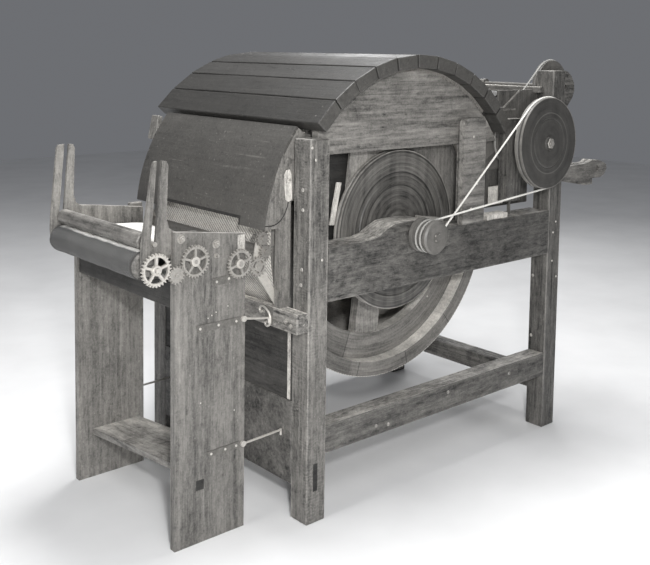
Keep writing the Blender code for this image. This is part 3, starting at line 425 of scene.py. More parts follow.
def roller_clothing(name, centre, tone=0.16):
    """Card clothing wound as a fillet: fine points in a close spiral, with the fillet's edges showing."""
    tree = Tree(name)
    _, angle, y, _, _ = round_coords(tree, centre)
    around = tree.times(angle, 0.15)
    turn = tree.math("FRACT", tree.times_plus(angle, 1 / (2 * math.pi), tree.times(y, 26.0)))
    edge = tree.span(turn, 0.0, 0.07, 1.0, 0.0)
    rows, points = clothing_twill(tree, around, y, 0.0052)
    patches = tree.noise(tree.here, 14.0, 5.0, 0.6)
    fill = tree.times_plus(tree.times(tree.plus(rows, points), 0.5), 0.22, 1.0)
    fill = tree.vary(fill, patches, 0.9)
    fill = tree.minus(fill, tree.times(edge, 0.45))
    value = tree.times(tree.math("MAXIMUM", fill, 0.2), tone)
    return tree.finish(value, 0.55, tree.plus(rows, points), 0.5, 0.0012, 0.2)


def fabric(name, period):
    """Canvas, paler on top, where the fleece lay, and darker where it turns over the front roller: partly
    soiling and partly painted top light, chosen by which way each face looks.
    """
    tree = Tree(name)
    coords = tree.here
    warp = tree.wave(coords, 1.0 / (period * 2), 0.6, 1.0, "Y")
    weft = tree.wave(coords, 1.0 / (period * 2), 0.6, 1.0, "X")
    weave = tree.plus(warp, weft)
    patches = tree.noise(coords, 11.0, 5.0, 0.65)
    creases = tree.noise(tree.stretch(coords, (6.0, 40.0, 6.0)), 1.0, 3.0)
    fill = tree.vary(1.0, patches, 1.7)
    fill = tree.times_plus(tree.minus(weave, 1.0), 0.09, fill)
    # Faces that look up get 0.80 of the tone and all others 0.04: painted top light together with soiling.
    up = tree.split(tree.facing)[2]
    up = tree.vary(up, patches, 0.10)
    value = tree.times(fill, tree.span(up, 0.93, 0.985, 0.040, 0.80))
    height = tree.times_plus(creases, 1.5, weave)
    return tree.finish(value, 0.9, height, 0.4, 0.0009, 0.0, (1.02, 1.0, 0.95), 0.15)


def rope_material(name="rope_fibre", tone=0.60):
    tree = Tree(name)
    coords = tree.here
    fuzz = tree.noise(coords, 700.0, 3.0, 0.7)
    patches = tree.noise(coords, 18.0, 4.0, 0.6)
    fill = tree.vary(1.0, patches, 0.5)
    fill = tree.vary(fill, fuzz, 0.35)
    # The rope is darkened to 0.45 where it wraps the cord pulley, fading out by 75 mm from the axis: painted
    # shade in the pulley's groove.
    x, _, z = tree.split(coords)
    at = tree.join(tree.minus(x, AXIS[0] + ORIGIN.x), 0.0, tree.minus(z, AXIS[1] + ORIGIN.z))
    groove_shade = tree.span(tree.vector("LENGTH", at), 0.053, 0.075, 0.45, 1.0)
    value = tree.times(fill, tree.times(groove_shade, tone))
    return tree.finish(value, 0.88, fuzz, 0.5, 0.0008, 0.0, (1.02, 1.0, 0.94), 0.25)


# The dust figures below pale each wood's up-facing faces: settled dirt together with painted top light.
WOODS = {
    "post_near": dict(
        tone=0.115, grain="Z", streak=0.22, figure=0.20, stain=0.22, specks=0.8, bump=0.6, chatter=0.35,
        mottle=0.35, dust_and_top_light=2.0,
    ),
    "post": dict(
        tone=0.122, grain="Z", streak=0.25, stain=0.22, specks=0.7, bump=0.6, mottle=0.35, dust_and_top_light=2.0,
    ),
    "post_back": dict(
        tone=0.076, grain="Z", figure=0.30, stain=0.22, specks=0.9, bump=0.6, mottle=0.4, dust_and_top_light=3.0,
    ),
    "rail_mid": dict(
        tone=0.082, grain="X", streak=0.15, figure=0.12, stain=0.35, specks=0.9, bump=0.8, mottle=0.55,
        dust_and_top_light=5.0, fade=(0, 0.10, 0.55, 0.72),
    ),
    "rail_low": dict(
        tone=0.082, grain="X", streak=0.18, figure=0.18, stain=0.3, specks=0.6, bump=0.7, mottle=0.45,
        dust_and_top_light=3.0,
    ),
    "cross": dict(tone=0.1, grain="Y", stain=0.3, mottle=0.5),
    "bar": dict(tone=0.165, grain="Y", stain=0.3, specks=0.9, bump=0.7, mottle=0.4, dust_and_top_light=4.0),
    "arch": dict(
        tone=0.145, grain="X", streak=0.26, figure=0.36, stain=0.16, specks=0.4, bump=0.4, shift=9.3,
    ),
    "flat": dict(
        tone=0.03, grain="Y", streak=0.07, figure=0.07, stain=0.10, specks=0.6, bump=0.3, rough=0.5,
        end=1.9, mottle=0.1, dust_and_top_light=0.0,
    ),
    "cover": dict(
        tone=0.062, grain="Y", streak=0.03, figure=0.05, stain=0.12, specks=1.2, bump=0.2, rough=0.5,
        mottle=0.06, dust_and_top_light=0.0,
    ),
    "cheek": dict(tone=0.148, grain="Z", streak=0.15, figure=0.14, stain=0.15, bump=0.4, mottle=0.3),
    "panel": dict(tone=0.029, grain="Y", streak=0.35, figure=0.30, stain=0.3, specks=1.0, mottle=0.35),
    "board": dict(tone=0.074, grain="X", figure=0.30, stain=0.4, specks=0.6, mottle=0.35),
    "plank": dict(
        tone=0.116, grain="Z", streak=0.18, figure=0.20, stain=0.12, specks=0.4, bump=0.35, mottle=0.3,
    ),
    "plank_far": dict(tone=0.16, grain="Z", streak=0.15, figure=0.20, stain=0.2, bump=0.35),
    "shelf": dict(tone=0.165, grain="Y", streak=0.2, figure=0.2, bump=0.35, dust_and_top_light=1.5),
    "stretcher": dict(tone=0.026, grain="Y", streak=0.2, figure=0.2, stain=0.3, specks=0.4),
    "roller": dict(tone=0.07, grain="Y", streak=0.25, figure=0.35, stain=0.45, specks=0.3, end=1.7),
    "lap": dict(tone=0.125, grain="Y", streak=0.25, figure=0.22, stain=0.3, rough=0.5),
    "block": dict(tone=0.20, grain="X", streak=0.2, figure=0.2, stain=0.3),
    "pale": dict(tone=0.42, grain="Z", streak=0.12, figure=0.12, stain=0.15, specks=0.2, mottle=0.3),
    "peg": dict(tone=0.24, grain="Y", streak=0.15, figure=0.1, stain=0.2, specks=0.0),
    "dark": dict(tone=0.016, grain="X", streak=0.2, figure=0.2, stain=0.3, specks=0.2),
    "casing": dict(
        tone=0.24, grain="Z", streak=0.12, figure=0.15, stain=0.2, specks=0.3, fade=(0, 0.32, 0.46, 0.5),
        mottle=0.3,
    ),
    "end_board": dict(
        tone=0.07, grain="Z", streak=0.2, figure=0.2, stain=0.2, specks=0.4, bump=0.4, mottle=0.3,
    ),
    "header": dict(
        tone=0.1, grain="Y", streak=0.2, figure=0.2, stain=0.2, specks=0.4, dust_and_top_light=6.0, mottle=0.4,
    ),
    "bracket": dict(
        tone=0.105, grain="X", figure=0.3, stain=0.3, specks=0.7, bump=0.7, mottle=0.35, dust_and_top_light=2.5,
    ),
}
MAT = {
    "disc": turned(
        "drive_pulley_wood", AXIS, 0.060, 0.62, 300.0, 0.45, 0.45, (0.262, 0.244, 0.228), 0.45,
        (0.193, 0.150, 0.2615),
        (0.193, 1.25), (0.2650, 2.6), 0.55,
    ),
    "small_pulley": turned("cord_pulley_wood", AXIS, 0.105, 0.2, 240.0, 0.45, 0.3),
    "big_pulley": turned(
        "doffer_pulley_wood", DOFFER, 0.042, 0.25, 200.0, 0.45, 0.25, (0.110,), 0.2, (), None,
        (0.1625, 3.6), 1.3,
    ),
    "crank": turned("crank_pulley_wood", CRANK, 0.10, 0.15, 200.0, 0.45, 0.3),
    "doffer_shaft": turned("doffer_shaft_wood", DOFFER, 0.12, 0.15, 200.0, 0.45, 0.3),
    "iron": iron("worn_iron"),
    "iron_dark": iron("dark_iron", 0.13, 0.4, 0.5, 0.6),
    "iron_bright": iron("bright_iron", 0.50, 0.5, 0.38, 0.3),
    "drum": drum_material(),
    "doffer_cloth": roller_clothing("doffer_clothing", DOFFER),
    "feed_steel": iron("fluted_roller_iron", 0.24, 0.6, 0.4, 0.4),
    "canvas": fabric("apron_canvas", 0.0016),
    "rope": rope_material(),
    # The comb drive rope is given a darker tone, 0.26 against 0.60.
    "rope_darker": rope_material("darker_rope_fibre", 0.26),
}
for index, (wood, options) in enumerate(WOODS.items()):
    MAT[wood] = timber(wood + "_wood", **{"shift": 0.3 + 1.37 * index, **options})


def aged(wood, node, number, edges=True):
    """A wood's material for one node: its own place in the grain, and its own rubbed edges."""
    options = {"shift": 2.1 + 0.91 * number, **WOODS[wood]}
    return timber(node + "_wood", worn=node if edges else None, **options)


NODE_LOOKS = {
    "post_front_near": "post_near", "post_front_far": "post", "post_back_near": "post_back",
    "post_back_far": "post_back", "side_rail_mid_near": "rail_mid", "side_rail_mid_far": "rail_mid",
    "side_rail_lower_near": "rail_low", "side_rail_lower_far": "rail_low", "cross_rail_back": "cross",
    "front_cross_bar": "bar", "header_rail": "header", "front_board_lower": "board",
    "front_panel_upper": "panel", "arch_board_near": "arch", "arch_board_far": "arch",
    "front_cover": "cover", "cheek_near": "cheek", "cheek_far": "cheek", "doffer_cover": "flat",
    "doffer_bearing_near": "post_back", "doffer_bearing_far": "post_back", "cylinder_drum": "drum",
    "drive_pulley": "disc", "main_shaft": "small_pulley", "doffer_roller": "doffer_cloth",
    "doffer_pulley": "big_pulley", "doffer_shaft": "doffer_shaft", "crank_shaft": "crank",
    "crank_bearing_near": "bracket", "crank_bearing_far": "bracket", "comb_bracket_near": "bracket",
    "comb_bracket_far": "bracket", "connecting_rod": "iron_dark", "doffer_comb": "iron_dark",
    "feed_side_near": "plank", "feed_side_far": "plank_far", "feed_shelf": "shelf",
    "feed_stretcher": "stretcher", "feed_table": "shelf", "front_roller": "roller", "rear_roller": "iron",
    "lap_spindle": "iron", "lap_roller": "lap", "feed_roller_lower": "feed_steel",
    "feed_roller_upper": "feed_steel", "wheel_front": "iron_bright", "wheel_pinion": "iron",
    "wheel_middle": "iron", "wheel_idler": "iron", "feed_bearing_near": "iron_bright",
    "feed_bearing_far": "iron", "hook_upper_near": "iron_bright", "hook_lower_near": "iron_bright",
    "hook_lower_far": "iron",
}
SQUARED = (
    "post_front_near", "post_front_far", "post_back_near", "post_back_far", "side_rail_mid_near",
    "side_rail_mid_far", "side_rail_lower_near", "side_rail_lower_far", "cross_rail_back",
    "front_cross_bar", "feed_side_near", "feed_side_far", "comb_bracket_near", "comb_bracket_far",
    "header_rail", "feed_stretcher",
)
for number, (node, look) in enumerate(NODE_LOOKS.items()):
    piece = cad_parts[node]
    piece.data.materials.clear()
    own = look in WOODS and look != "arch"
    piece.data.materials.append(aged(look, node, number, node in SQUARED) if own else MAT[look])

ROUNDED = {
    "post_front_near": 0.004, "post_front_far": 0.004, "post_back_near": 0.004, "post_back_far": 0.004,
    "side_rail_mid_near": 0.003, "side_rail_mid_far": 0.003, "arch_board_near": 0.0025,
    "arch_board_far": 0.0025, "feed_side_near": 0.002, "feed_side_far": 0.002, "comb_bracket_near": 0.004,
    "comb_bracket_far": 0.004, "crank_bearing_near": 0.005, "crank_bearing_far": 0.005, "cheek_near": 0.002,
    "cheek_far": 0.002, "doffer_bearing_near": 0.003, "doffer_bearing_far": 0.003, "front_cover": 0.0015,
    "lap_roller": 0.002,
}
for node, width in ROUNDED.items():
    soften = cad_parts[node].modifiers.new("worn_edges", "BEVEL")
    soften.width = width
    soften.segments = 2
    soften.limit_method = "ANGLE"
    soften.angle_limit = math.radians(40)
    soften.harden_normals = False


# Pieces
def link(obj):
    bpy.context.scene.collection.objects.link(obj)


def add(name, mesh, look, body="frame", smooth=False, bevel=0.0):
    mesh.materials.clear()
    mesh.materials.append(MAT[look])
    obj = bpy.data.objects.new(name, mesh)
    link(obj)
    if smooth:
        mesh.shade_smooth()
    if bevel:
        edge = obj.modifiers.new("edge", "BEVEL")
        edge.width = bevel
        edge.segments = 2
        edge.limit_method = "ANGLE"
        edge.angle_limit = math.radians(35)
    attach(obj, body)
    return obj


def as_mesh(work, name):
    mesh = bpy.data.meshes.new(name)
    work.to_mesh(mesh)
    work.free()
    return mesh


def roughen(work, amount, scale, seed=0.0):
    for vertex in work.verts:
        at = vertex.co * scale + Vector((seed, seed * 2.1, -seed))
        vertex.co += Vector(noise.noise_vector(at)) * amount


def prism(outline, y0, y1, slices=1, rough=0.0, scale=6.0, seed=0.0):
    """A solid whose outline lies in the xz plane, in machine coordinates, cut into slices along y."""
    work = bmesh.new()
    rings = []
    for step in range(slices + 1):
        y = y0 + (y1 - y0) * step / slices
        rings.append([work.verts.new(place(x, y, z)) for x, z in outline])
    count = len(outline)
    for a, b in zip(rings, rings[1:]):
        for i in range(count):
            work.faces.new((a[i], a[(i + 1) % count], b[(i + 1) % count], b[i]))
    work.faces.new(rings[0][::-1])
    work.faces.new(rings[-1])
    bmesh.ops.recalc_face_normals(work, faces=work.faces)
    if rough:
        roughen(work, rough, scale, seed)
    return as_mesh(work, "prism")


def slab(low, high, cuts, rough, seed, tilt=0.0):
    """A hand-cut block between two corners, its faces uneven by rough, tilted by degrees about y."""
    work = bmesh.new()
    size = [b - a for a, b in zip(low, high)]
    middle = place(*[(a + b) / 2 for a, b in zip(low, high)])
    bmesh.ops.create_cube(work, size=1.0, matrix=Matrix.Diagonal((*size, 1.0)))
    bmesh.ops.subdivide_edges(work, edges=work.edges[:], cuts=cuts, use_grid_fill=True)
    roughen(work, rough, 30.0, seed)
    leaning = Matrix.Translation(middle) @ Matrix.Rotation(math.radians(tilt), 4, "Y")
    bmesh.ops.transform(work, matrix=leaning, verts=work.verts)
    return as_mesh(work, "slab")


FACING = {
    "-Y": Matrix.Rotation(math.pi / 2, 4, "X"),
    "+Y": Matrix.Rotation(-math.pi / 2, 4, "X"),
    "-X": Matrix.Rotation(-math.pi / 2, 4, "Y"),
}


def stack(at, facing, layers, spin=0.0):
    """Nails, nuts and bosses: layers of (foot radius, top radius, height, sides), one on another."""
    work = bmesh.new()
    base = 0.0
    for foot, top, height, sides in layers:
        made = bmesh.ops.create_cone(
            work, cap_ends=True, segments=sides, radius1=foot, radius2=top, depth=height,
        )
        lift = Matrix.Translation((0, 0, base + height / 2)) @ Matrix.Rotation(spin, 4, "Z")
        bmesh.ops.transform(work, matrix=lift, verts=made["verts"])
        base += height
    bmesh.ops.transform(work, matrix=Matrix.Translation(place(*at)) @ FACING[facing], verts=work.verts)
    return as_mesh(work, "stack")


def wire(name, points, radius, look):
    curve = bpy.data.curves.new(name, "CURVE")
    curve.dimensions = "3D"
    curve.bevel_depth = radius
    curve.bevel_resolution = 3
    curve.use_fill_caps = True
    spline = curve.splines.new("NURBS")
    spline.points.add(len(points) - 1)
    for point, at in zip(spline.points, points):
        point.co = (*place(*at), 1.0)
    spline.use_endpoint_u = True
    spline.order_u = 4
    spline.resolution_u = 6
    curve.materials.append(MAT[look])
    obj = bpy.data.objects.new(name, curve)
    link(obj)
    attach(obj, "frame")


# Camera
camera = bpy.data.objects.new("camera", bpy.data.cameras.new("camera"))
link(camera)
camera.data.sensor_width = 36.0
camera.data.lens = 52.21
camera.data.shift_x = 0.0220
camera.data.shift_y = -0.2309
yaw, pitch, roll = (math.radians(v) for v in (40.85, -5.03, 0.756))
ahead = Vector((math.sin(yaw) * math.cos(pitch), math.cos(yaw) * math.cos(pitch), math.sin(pitch)))
level = Vector((math.cos(yaw), -math.sin(yaw), 0.0))
above = level.cross(ahead)
right = level * math.cos(roll) + above * math.sin(roll)
upward = -level * math.sin(roll) + above * math.cos(roll)
pose = Matrix((right, upward, -ahead)).transposed().to_4x4()
pose.translation = place(-1.796, -2.075, 1.4415)
camera.matrix_world = pose
bpy.context.scene.camera = camera


# Cords
def smooth_loop(points, spacing):
    """Evenly spaced points round a closed path."""
    places = [Vector(p) for p in points]
    places.append(places[0])
    lengths = [(b - a).length for a, b in zip(places, places[1:])]
    total = sum(lengths)
    count = round(total / spacing)
    result = []
    index = 0
    passed = 0.0
    for step in range(count):
        goal = total * step / count
        while passed + lengths[index] < goal:
            passed += lengths[index]
            index += 1
        share = (goal - passed) / lengths[index]
        result.append(places[index].lerp(places[index + 1], share))
    return result, total


def laid_rope(name, path, node, look):
    """Three strands laid round a closed path, joined into one rope."""
    points, total = smooth_loop(path, ROPE_PITCH / 6)
    count = len(points)
    twists = round(total / ROPE_PITCH)
    strand = ROPE_R * 0.52
    offset = ROPE_R * 0.46
    work = bmesh.new()
    up = Vector((0, 1, 0))
    sides = 7
    for part in range(3):
        rings = []
        for i, at in enumerate(points):
            along = (points[(i + 1) % count] - points[i - 1]).normalized()
            across = along.cross(up).normalized()
            side = across.cross(along)
            angle = 2 * math.pi * (twists * i / count + part / 3)
            centre = place(*at) + (across * math.cos(angle) + side * math.sin(angle)) * offset
            ring = []
            for k in range(sides):
                turn = 2 * math.pi * k / sides
                ring.append(
                    work.verts.new(centre + (across * math.cos(turn) + side * math.sin(turn)) * strand)
                )
            rings.append(ring)
        for i in range(count):
            a, b = rings[i], rings[(i + 1) % count]
            for k in range(sides):
                work.faces.new((a[k], b[k], b[(k + 1) % sides], a[(k + 1) % sides]))
    bmesh.ops.recalc_face_normals(work, faces=work.faces)
    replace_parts(add(name, as_mesh(work, name), look, "frame", smooth=True), node)


def crossed_path():
    small = CORD_PULLEY_R + ROPE_R + 0.0003
    large = BIG_PULLEY_R + ROPE_SEAT
    along = math.atan2(DOFFER[1] - AXIS[1], DOFFER[0] - AXIS[0])
    lean = math.acos((small + large) / math.dist(AXIS, DOFFER))
    top = along + lean
    bottom = along - lean
    turns = arc(AXIS, small, bottom + 4 * math.pi, top, 121)
    points = [(x, -0.030 - 0.030 * i / 120, z) for i, (x, z) in enumerate(turns)]
    return points + [(x, -0.060, z) for x, z in arc(DOFFER, large, top - math.pi, bottom + math.pi, 89)]


def open_path():
    radius = COMB_PULLEY_R + ROPE_SEAT
    along = math.atan2(CRANK[1] - DOFFER[1], CRANK[0] - DOFFER[0])
    left = along + math.pi / 2
    loop = arc(DOFFER, radius, left, left + math.pi, 53)
    loop += arc(CRANK, radius, left + math.pi, left + 2 * math.pi, 53)
    return [(x, 0.092, z) for x, z in loop]


laid_rope("doffer_drive_rope", crossed_path(), "doffer_cord", "rope")
laid_rope("comb_drive_rope", open_path(), "comb_cord", "rope_darker")


# Flats
def flats():
    """Eleven thick planks round the cylinder, each a little out of line with the next."""
    first = math.radians(FLATS_START)
    pitch = math.radians(FLAT_PITCH)
    made = []
    for index in range(11):
        start = math.pi - first - index * pitch
        end = start - pitch
        gap = math.radians(rng.uniform(0.16, 0.30))
        lift = rng.uniform(-0.0012, 0.0012)
        dip = rng.uniform(-0.0016, 0.0010)
        outline = []
        for step in range(5):
            angle = start - gap + (end - start + 2 * gap) * step / 4
            crown = (FLAT_OUTER_R + lift + dip * step / 4) * math.cos(pitch / 2)
            sag = crown / math.cos(angle - (start + end) / 2)
            outline.append(polar(AXIS, min(sag + 0.002, 0.586), angle))
        outline.append(polar(AXIS, FLAT_INNER_R, end + gap))
        outline.append(polar(AXIS, FLAT_INNER_R, start - gap))
        near = -0.002 + rng.uniform(0.0, 0.004)
        far = 0.891 - rng.uniform(0.0, 0.004)
        mesh = prism(outline, near, far, 26, 0.0011, 4.0, index * 3.3)
        plank = add(f"flat_plank_{index + 1:02d}", mesh, "flat", bevel=0.0028)
        made.append(plank)
        for y in (0.034, 0.853):
            for share in (0.3, 0.7):
                angle = start + (end - start) * share
                spot = polar(AXIS, 0.5825 + dip, angle)
                head = bmesh.new()
                bmesh.ops.create_uvsphere(head, u_segments=10, v_segments=6, radius=0.0042)
                tilt = Matrix.Rotation(math.pi / 2 - angle, 4, "Y") @ Matrix.Diagonal((1, 1, 0.35, 1))
                moved = Matrix.Translation(place(spot[0], y, spot[1]))
                bmesh.ops.transform(head, matrix=moved @ tilt, verts=head.verts)
                name = f"flat_nail_{index + 1:02d}_{'n' if y < 0.4 else 'f'}{int(share * 10)}"
                add(name, as_mesh(head, "nail"), "iron_dark", smooth=True)
    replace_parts(made[0], "flats_front")
    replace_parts(made[5], "flats_top")
    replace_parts(made[9], "flats_back")


flats()


def fringe():
    """Wire points of the flats' clothing that show past the arch board's edge."""
    for side, y in (("near", 0.0470), ("far", 0.8230)):
        work = bmesh.new()
        for index in range(150):
            angle = math.radians(46 + 57 * index / 149 + rng.uniform(-0.08, 0.08))
            tip = 0.5285 + rng.uniform(-0.0015, 0.0025)
            root = 0.5420
            half = math.radians(0.09)
            points = []
            for depth in (y, y + 0.0022):
                for radius, a in (
                    (root, angle - half), (root, angle + half), (tip, angle + half * 0.5),
                    (tip, angle - half * 0.5),
                ):
                    x, z = polar(AXIS, radius, a)
                    points.append(work.verts.new(place(x, depth, z)))
            a, b = points[:4], points[4:]
            work.faces.new(a)
            work.faces.new(b[::-1])
            for i in range(4):
                work.faces.new((a[i], a[(i + 1) % 4], b[(i + 1) % 4], b[i]))
        bmesh.ops.recalc_face_normals(work, faces=work.faces)
        add(f"flat_fringe_{side}", as_mesh(work, "fringe"), "iron")
        band = arc(AXIS, FLAT_INNER_R, math.radians(44), math.radians(104), 25)
        band += arc(AXIS, 0.5335, math.radians(104), math.radians(44), 25)
        add(f"flat_clothing_edge_{side}", prism(band, y + 0.0026, y + 0.0060), "dark")


fringe()

# Boards behind the drive pulley and at the doffer's end
casing = [
    (0.2800, 1.1500), (0.2750, 1.0970), (0.2520, 0.9100), (0.2400, 0.8300), (0.4380, 0.8300),
    (0.4420, 0.8740), (0.4980, 0.8740), (0.5020, 0.8300), (0.7790, 0.8300), (0.7770, 0.8550),
    (0.7680, 1.0910), (0.7660, 1.1500),
]
add("casing_board", prism(casing, 0.1245, 0.1345, 3, 0.0006), "casing", bevel=0.001)
add("casing_board_far", prism(casing, 0.7375, 0.7475, 3, 0.0006, seed=4.0), "casing", bevel=0.001)
# A near-black board behind the near casing: painted shade, darkening the gap seen beside the post.
add(
    "casing_shade_board",
    prism([(0.084, 0.832), (0.300, 0.832), (0.300, 1.150), (0.084, 1.150)], 0.1500, 0.1560, 3, 0.0006),
    "dark", bevel=0.001,
)
for side, y in (("near", 0.0675), ("far", 0.7965)):
    board = [(0.956, 1.129), (1.191, 1.129), (1.191, 1.288), (1.160, 1.288), (1.160, 1.302), (0.956, 1.302)]
    add(
        f"doffer_end_board_{side}", prism(board, y, y + 0.0085, 3, 0.0006, seed=y), "end_board",
        bevel=0.001,
    )
# name, outline, from y, to y, slices, unevenness, look, rubbed edge
LOOSE_BOARDS = (
    (
        "doffer_end_strip", ((0.978, 1.240), (0.984, 1.235), (1.080, 1.297), (1.074, 1.301)), 0.0650,
        0.0674, 2, 0.0003, "block", 0.0006,
    ),
    (
        "doffer_end_ledge", ((0.980, 1.228), (1.054, 1.228), (1.054, 1.234), (0.980, 1.234)), 0.0640,
        0.0674, 2, 0.0003, "block", 0.0006,
    ),
    (
        "doffer_low_board", ((0.940, 0.868), (1.191, 0.868), (1.191, 1.010), (0.940, 1.010)), 0.1010,
        0.1070, 3, 0.0006, "end_board", 0.001,
    ),
    (
        "casing_batten", ((0.193, 0.884), (0.211, 0.882), (0.240, 1.018), (0.222, 1.020)), 0.1240, 0.1330,
        3, 0.0005, "pale", 0.0015,
    ),
)
for name, outline, y0, y1, slices, rough, look, bevel in LOOSE_BOARDS:
    add(name, prism(outline, y0, y1, slices, rough), look, bevel=bevel)


def cover_shadow_strip(name, bottom, y0, y1, *shape):
    """A dark strip along the front cover's notch, between two heights on the cover's own curve: painted
    shadow, where the cover casts its shadow on the clothing.
    """
    inner, outer = COVER_R
    corners = ((outer, bottom), (outer, COVER_NOTCH_Z), (inner, COVER_NOTCH_Z), (inner, bottom))
    outline = [(AXIS[0] - math.sqrt(radius**2 - (z - AXIS[1]) ** 2), z) for radius, z in corners]
    add(name, prism(outline, y0, y1, *shape), "dark")


# Painted shadow along the notch's lower edge and along its near side.
cover_shadow_strip("cover_shadow_strip", 0.9255, 0.2085, 0.6640, 8, 0.0004, 9.0)
cover_shadow_strip("cover_shadow_strip_side", 0.9064, 0.2084, 0.2165)

# Blocks, pegs and nails on the frame
# name, lower corner, upper corner, cuts, unevenness, seed, look, rubbed edge, tilt
SMALL_BLOCKS = (
    ("rail_block", (0.832, 0.002, 0.8472), (0.946, 0.048, 0.866), 4, 0.0012, 2.0, "pale", 0.003, 0),
    ("rail_block_wedge", (0.505, 0.006, 0.879), (0.600, 0.050, 0.888), 4, 0.0012, 5.0, "block", 0.002, 9),
    ("pale_plate", (0.918, 0.067, 0.885), (0.999, 0.0735, 0.952), 3, 0.0004, 1.0, "pale", 0.001, 0),
    ("post_head_block", (-0.021, 0.82, 1.112), (-0.0012, 0.866, 1.198), 4, 0.0015, 3.0, "cheek", 0.003, 12),
    ("bearing_cap_far", (-0.176, 0.732, 0.808), (-0.130, 0.756, 0.911), 4, 0.001, 4.0, "block", 0.004, 0),
    ("tenon_end_near", (0.0255, -0.0009, 0.101), (0.0425, 0.0015, 0.187), 3, 0.0002, 6.0, "dark", 0.0004, 0),
    ("tenon_end_far", (0.0255, 0.8705, 0.101), (0.0425, 0.8729, 0.187), 3, 0.0002, 6.0, "dark", 0.0004, 0),
    ("panel_batten", (0.0005, 0.085, 0.370), (0.0035, 0.098, 0.595), 3, 0.0004, 2.0, "pale", 0.0006, 0),
)
for name, low, high, cuts, rough, seed, look, bevel, tilt in SMALL_BLOCKS:
    add(name, slab(low, high, cuts, rough, seed, tilt), look, bevel=bevel)


def near_face(x, z):
    return (x, -FACE_LIFT, z), "-Y"


def far_face(x, z):
    return (x, FAR_FACE_Y, z), "+Y"


def front_face(y, z):
    return (-FACE_LIFT, y, z), "-X"


def back_post_face(y, z):
    return (1.1946, y, z), "-X"


PEGS = [near_face(x, z) for x, z in ((0.292, 0.239), (0.347, 0.231), (0.640, 0.270), (0.980, 0.262))]
PEGS += [front_face(y, z) for y, z in ((0.033, 1.026), (0.032, 0.966), (0.034, 0.785), (0.037, 0.738))]
PEGS += [
    back_post_face(0.063, 0.586), back_post_face(0.062, 0.350), far_face(0.292, 0.239),
    far_face(0.980, 0.262),
]
for index, (at, facing) in enumerate(PEGS):
    add(f"peg_{index + 1:02d}", stack(at, facing, ((0.0062, 0.0050, 0.0022, 14),)), "peg")
near_nails = (
    (0.020, 1.117), (0.050, 0.814), (0.006, 1.154), (1.255, 0.585), (1.225, 0.650), (1.225, 0.760),
    (1.240, 0.800), (0.740, 1.150), (0.765, 0.985), (0.735, 0.900),
)
NAILS = [near_face(x, z) for x, z in near_nails]
NAILS += [far_face(x, z) for x, z in ((0.020, 1.117), (1.255, 0.585), (0.765, 0.985))]
for index, (at, facing) in enumerate(NAILS):
    head = stack(at, facing, ((0.0044, 0.0036, 0.0012, 10), (0.0036, 0.0018, 0.0008, 10)))
    add(f"nail_{index + 1:02d}", head, "iron_bright")
for index, (x, z) in enumerate(((0.711, 0.583), (0.728, 0.554))):
    add(
        f"felloe_nail_{index + 1}", stack((x, 0.1857, z), "-Y", ((0.004, 0.003, 0.0030, 10),)),
        "iron_bright", "cylinder",
    )

# Cheek latch and leather flap near the post
latch = [
    (-0.028, 1.066), (-0.020, 1.080), (-0.006, 1.082), (0.000, 1.068), (0.004, 1.000), (0.002, 0.988),
    (-0.012, 0.984), (-0.020, 0.992),
]
add("cheek_latch", prism(latch, 0.0870, 0.0927), "pale", bevel=0.0015)
add("cheek_latch_pin", stack((-0.008, 0.0868, 1.050), "-Y", ((0.004, 0.003, 0.003, 10),)), "iron")
flap = [
    (-0.0600, 1.060), (-0.029, 1.132), (-0.012, 1.118), (0.010, 1.112), (0.040, 1.114), (0.042, 1.108),
    (0.010, 1.104), (-0.010, 1.092), (-0.030, 1.052),
]
add("cheek_flap", prism(flap, 0.0895, 0.0927), "cheek", bevel=0.0008)
wire(
    "cheek_cord",
    [
        (-0.094, 0.0915, 0.918), (-0.070, 0.0910, 0.915), (-0.045, 0.0910, 0.922), (-0.025, 0.0910, 0.940),
        (-0.012, 0.0912, 0.966), (-0.008, 0.0915, 0.984),
    ],
    0.0014, "dark",
)

# Feed stand ironwork
SQUARE = math.pi / 4
STRAP_Y = 0.1255


def strap(name, corners, holes):
    add(name, prism(corners, STRAP_Y - 0.0034, STRAP_Y - 0.0003), "iron_dark", bevel=0.0006)
    for index, (x, z) in enumerate(holes):
        head = stack((x, STRAP_Y - 0.0034, z), "-Y", ((0.0040, 0.0032, 0.0014, 12),))
        add(f"{name}_bolt_{index + 1}", head, "iron_bright")


upper_corners = ((-0.318, 0.650), (-0.311, 0.629), (-0.162, 0.629), (-0.162, 0.651))
strap("strap_upper", upper_corners, ((-0.304, 0.640), (-0.240, 0.640), (-0.176, 0.640)))
lower_corners = ((-0.277, 0.268), (-0.272, 0.250), (-0.162, 0.250), (-0.162, 0.270))
strap("strap_lower", lower_corners, ((-0.264, 0.259), (-0.214, 0.260), (-0.174, 0.260)))
patch_corners = ((-0.262, 0.779), (-0.254, 0.757), (-0.190, 0.762), (-0.191, 0.784))
strap("patch_plate", patch_corners, ((-0.247, 0.769), (-0.204, 0.772)))
for name, x, z in (("front", -0.367, 0.908), ("rear", -0.248, 0.880)):
    nut = stack(
        (x, PLANK_FACE_Y, z), "-Y",
        ((0.0135, 0.0130, 0.0012, 20), (0.0108, 0.0100, 0.0065, 4), (0.0045, 0.0035, 0.004, 10)),
        SQUARE + 0.3,
    )
    add(f"plank_nut_{name}", nut, "iron")
stud = stack((-0.248, PLANK_FACE_Y, 0.846), "-Y", ((0.008, 0.007, 0.003, 12), (0.0045, 0.0045, 0.010, 10)))
add("lost_wheel_stud", stud, "iron")
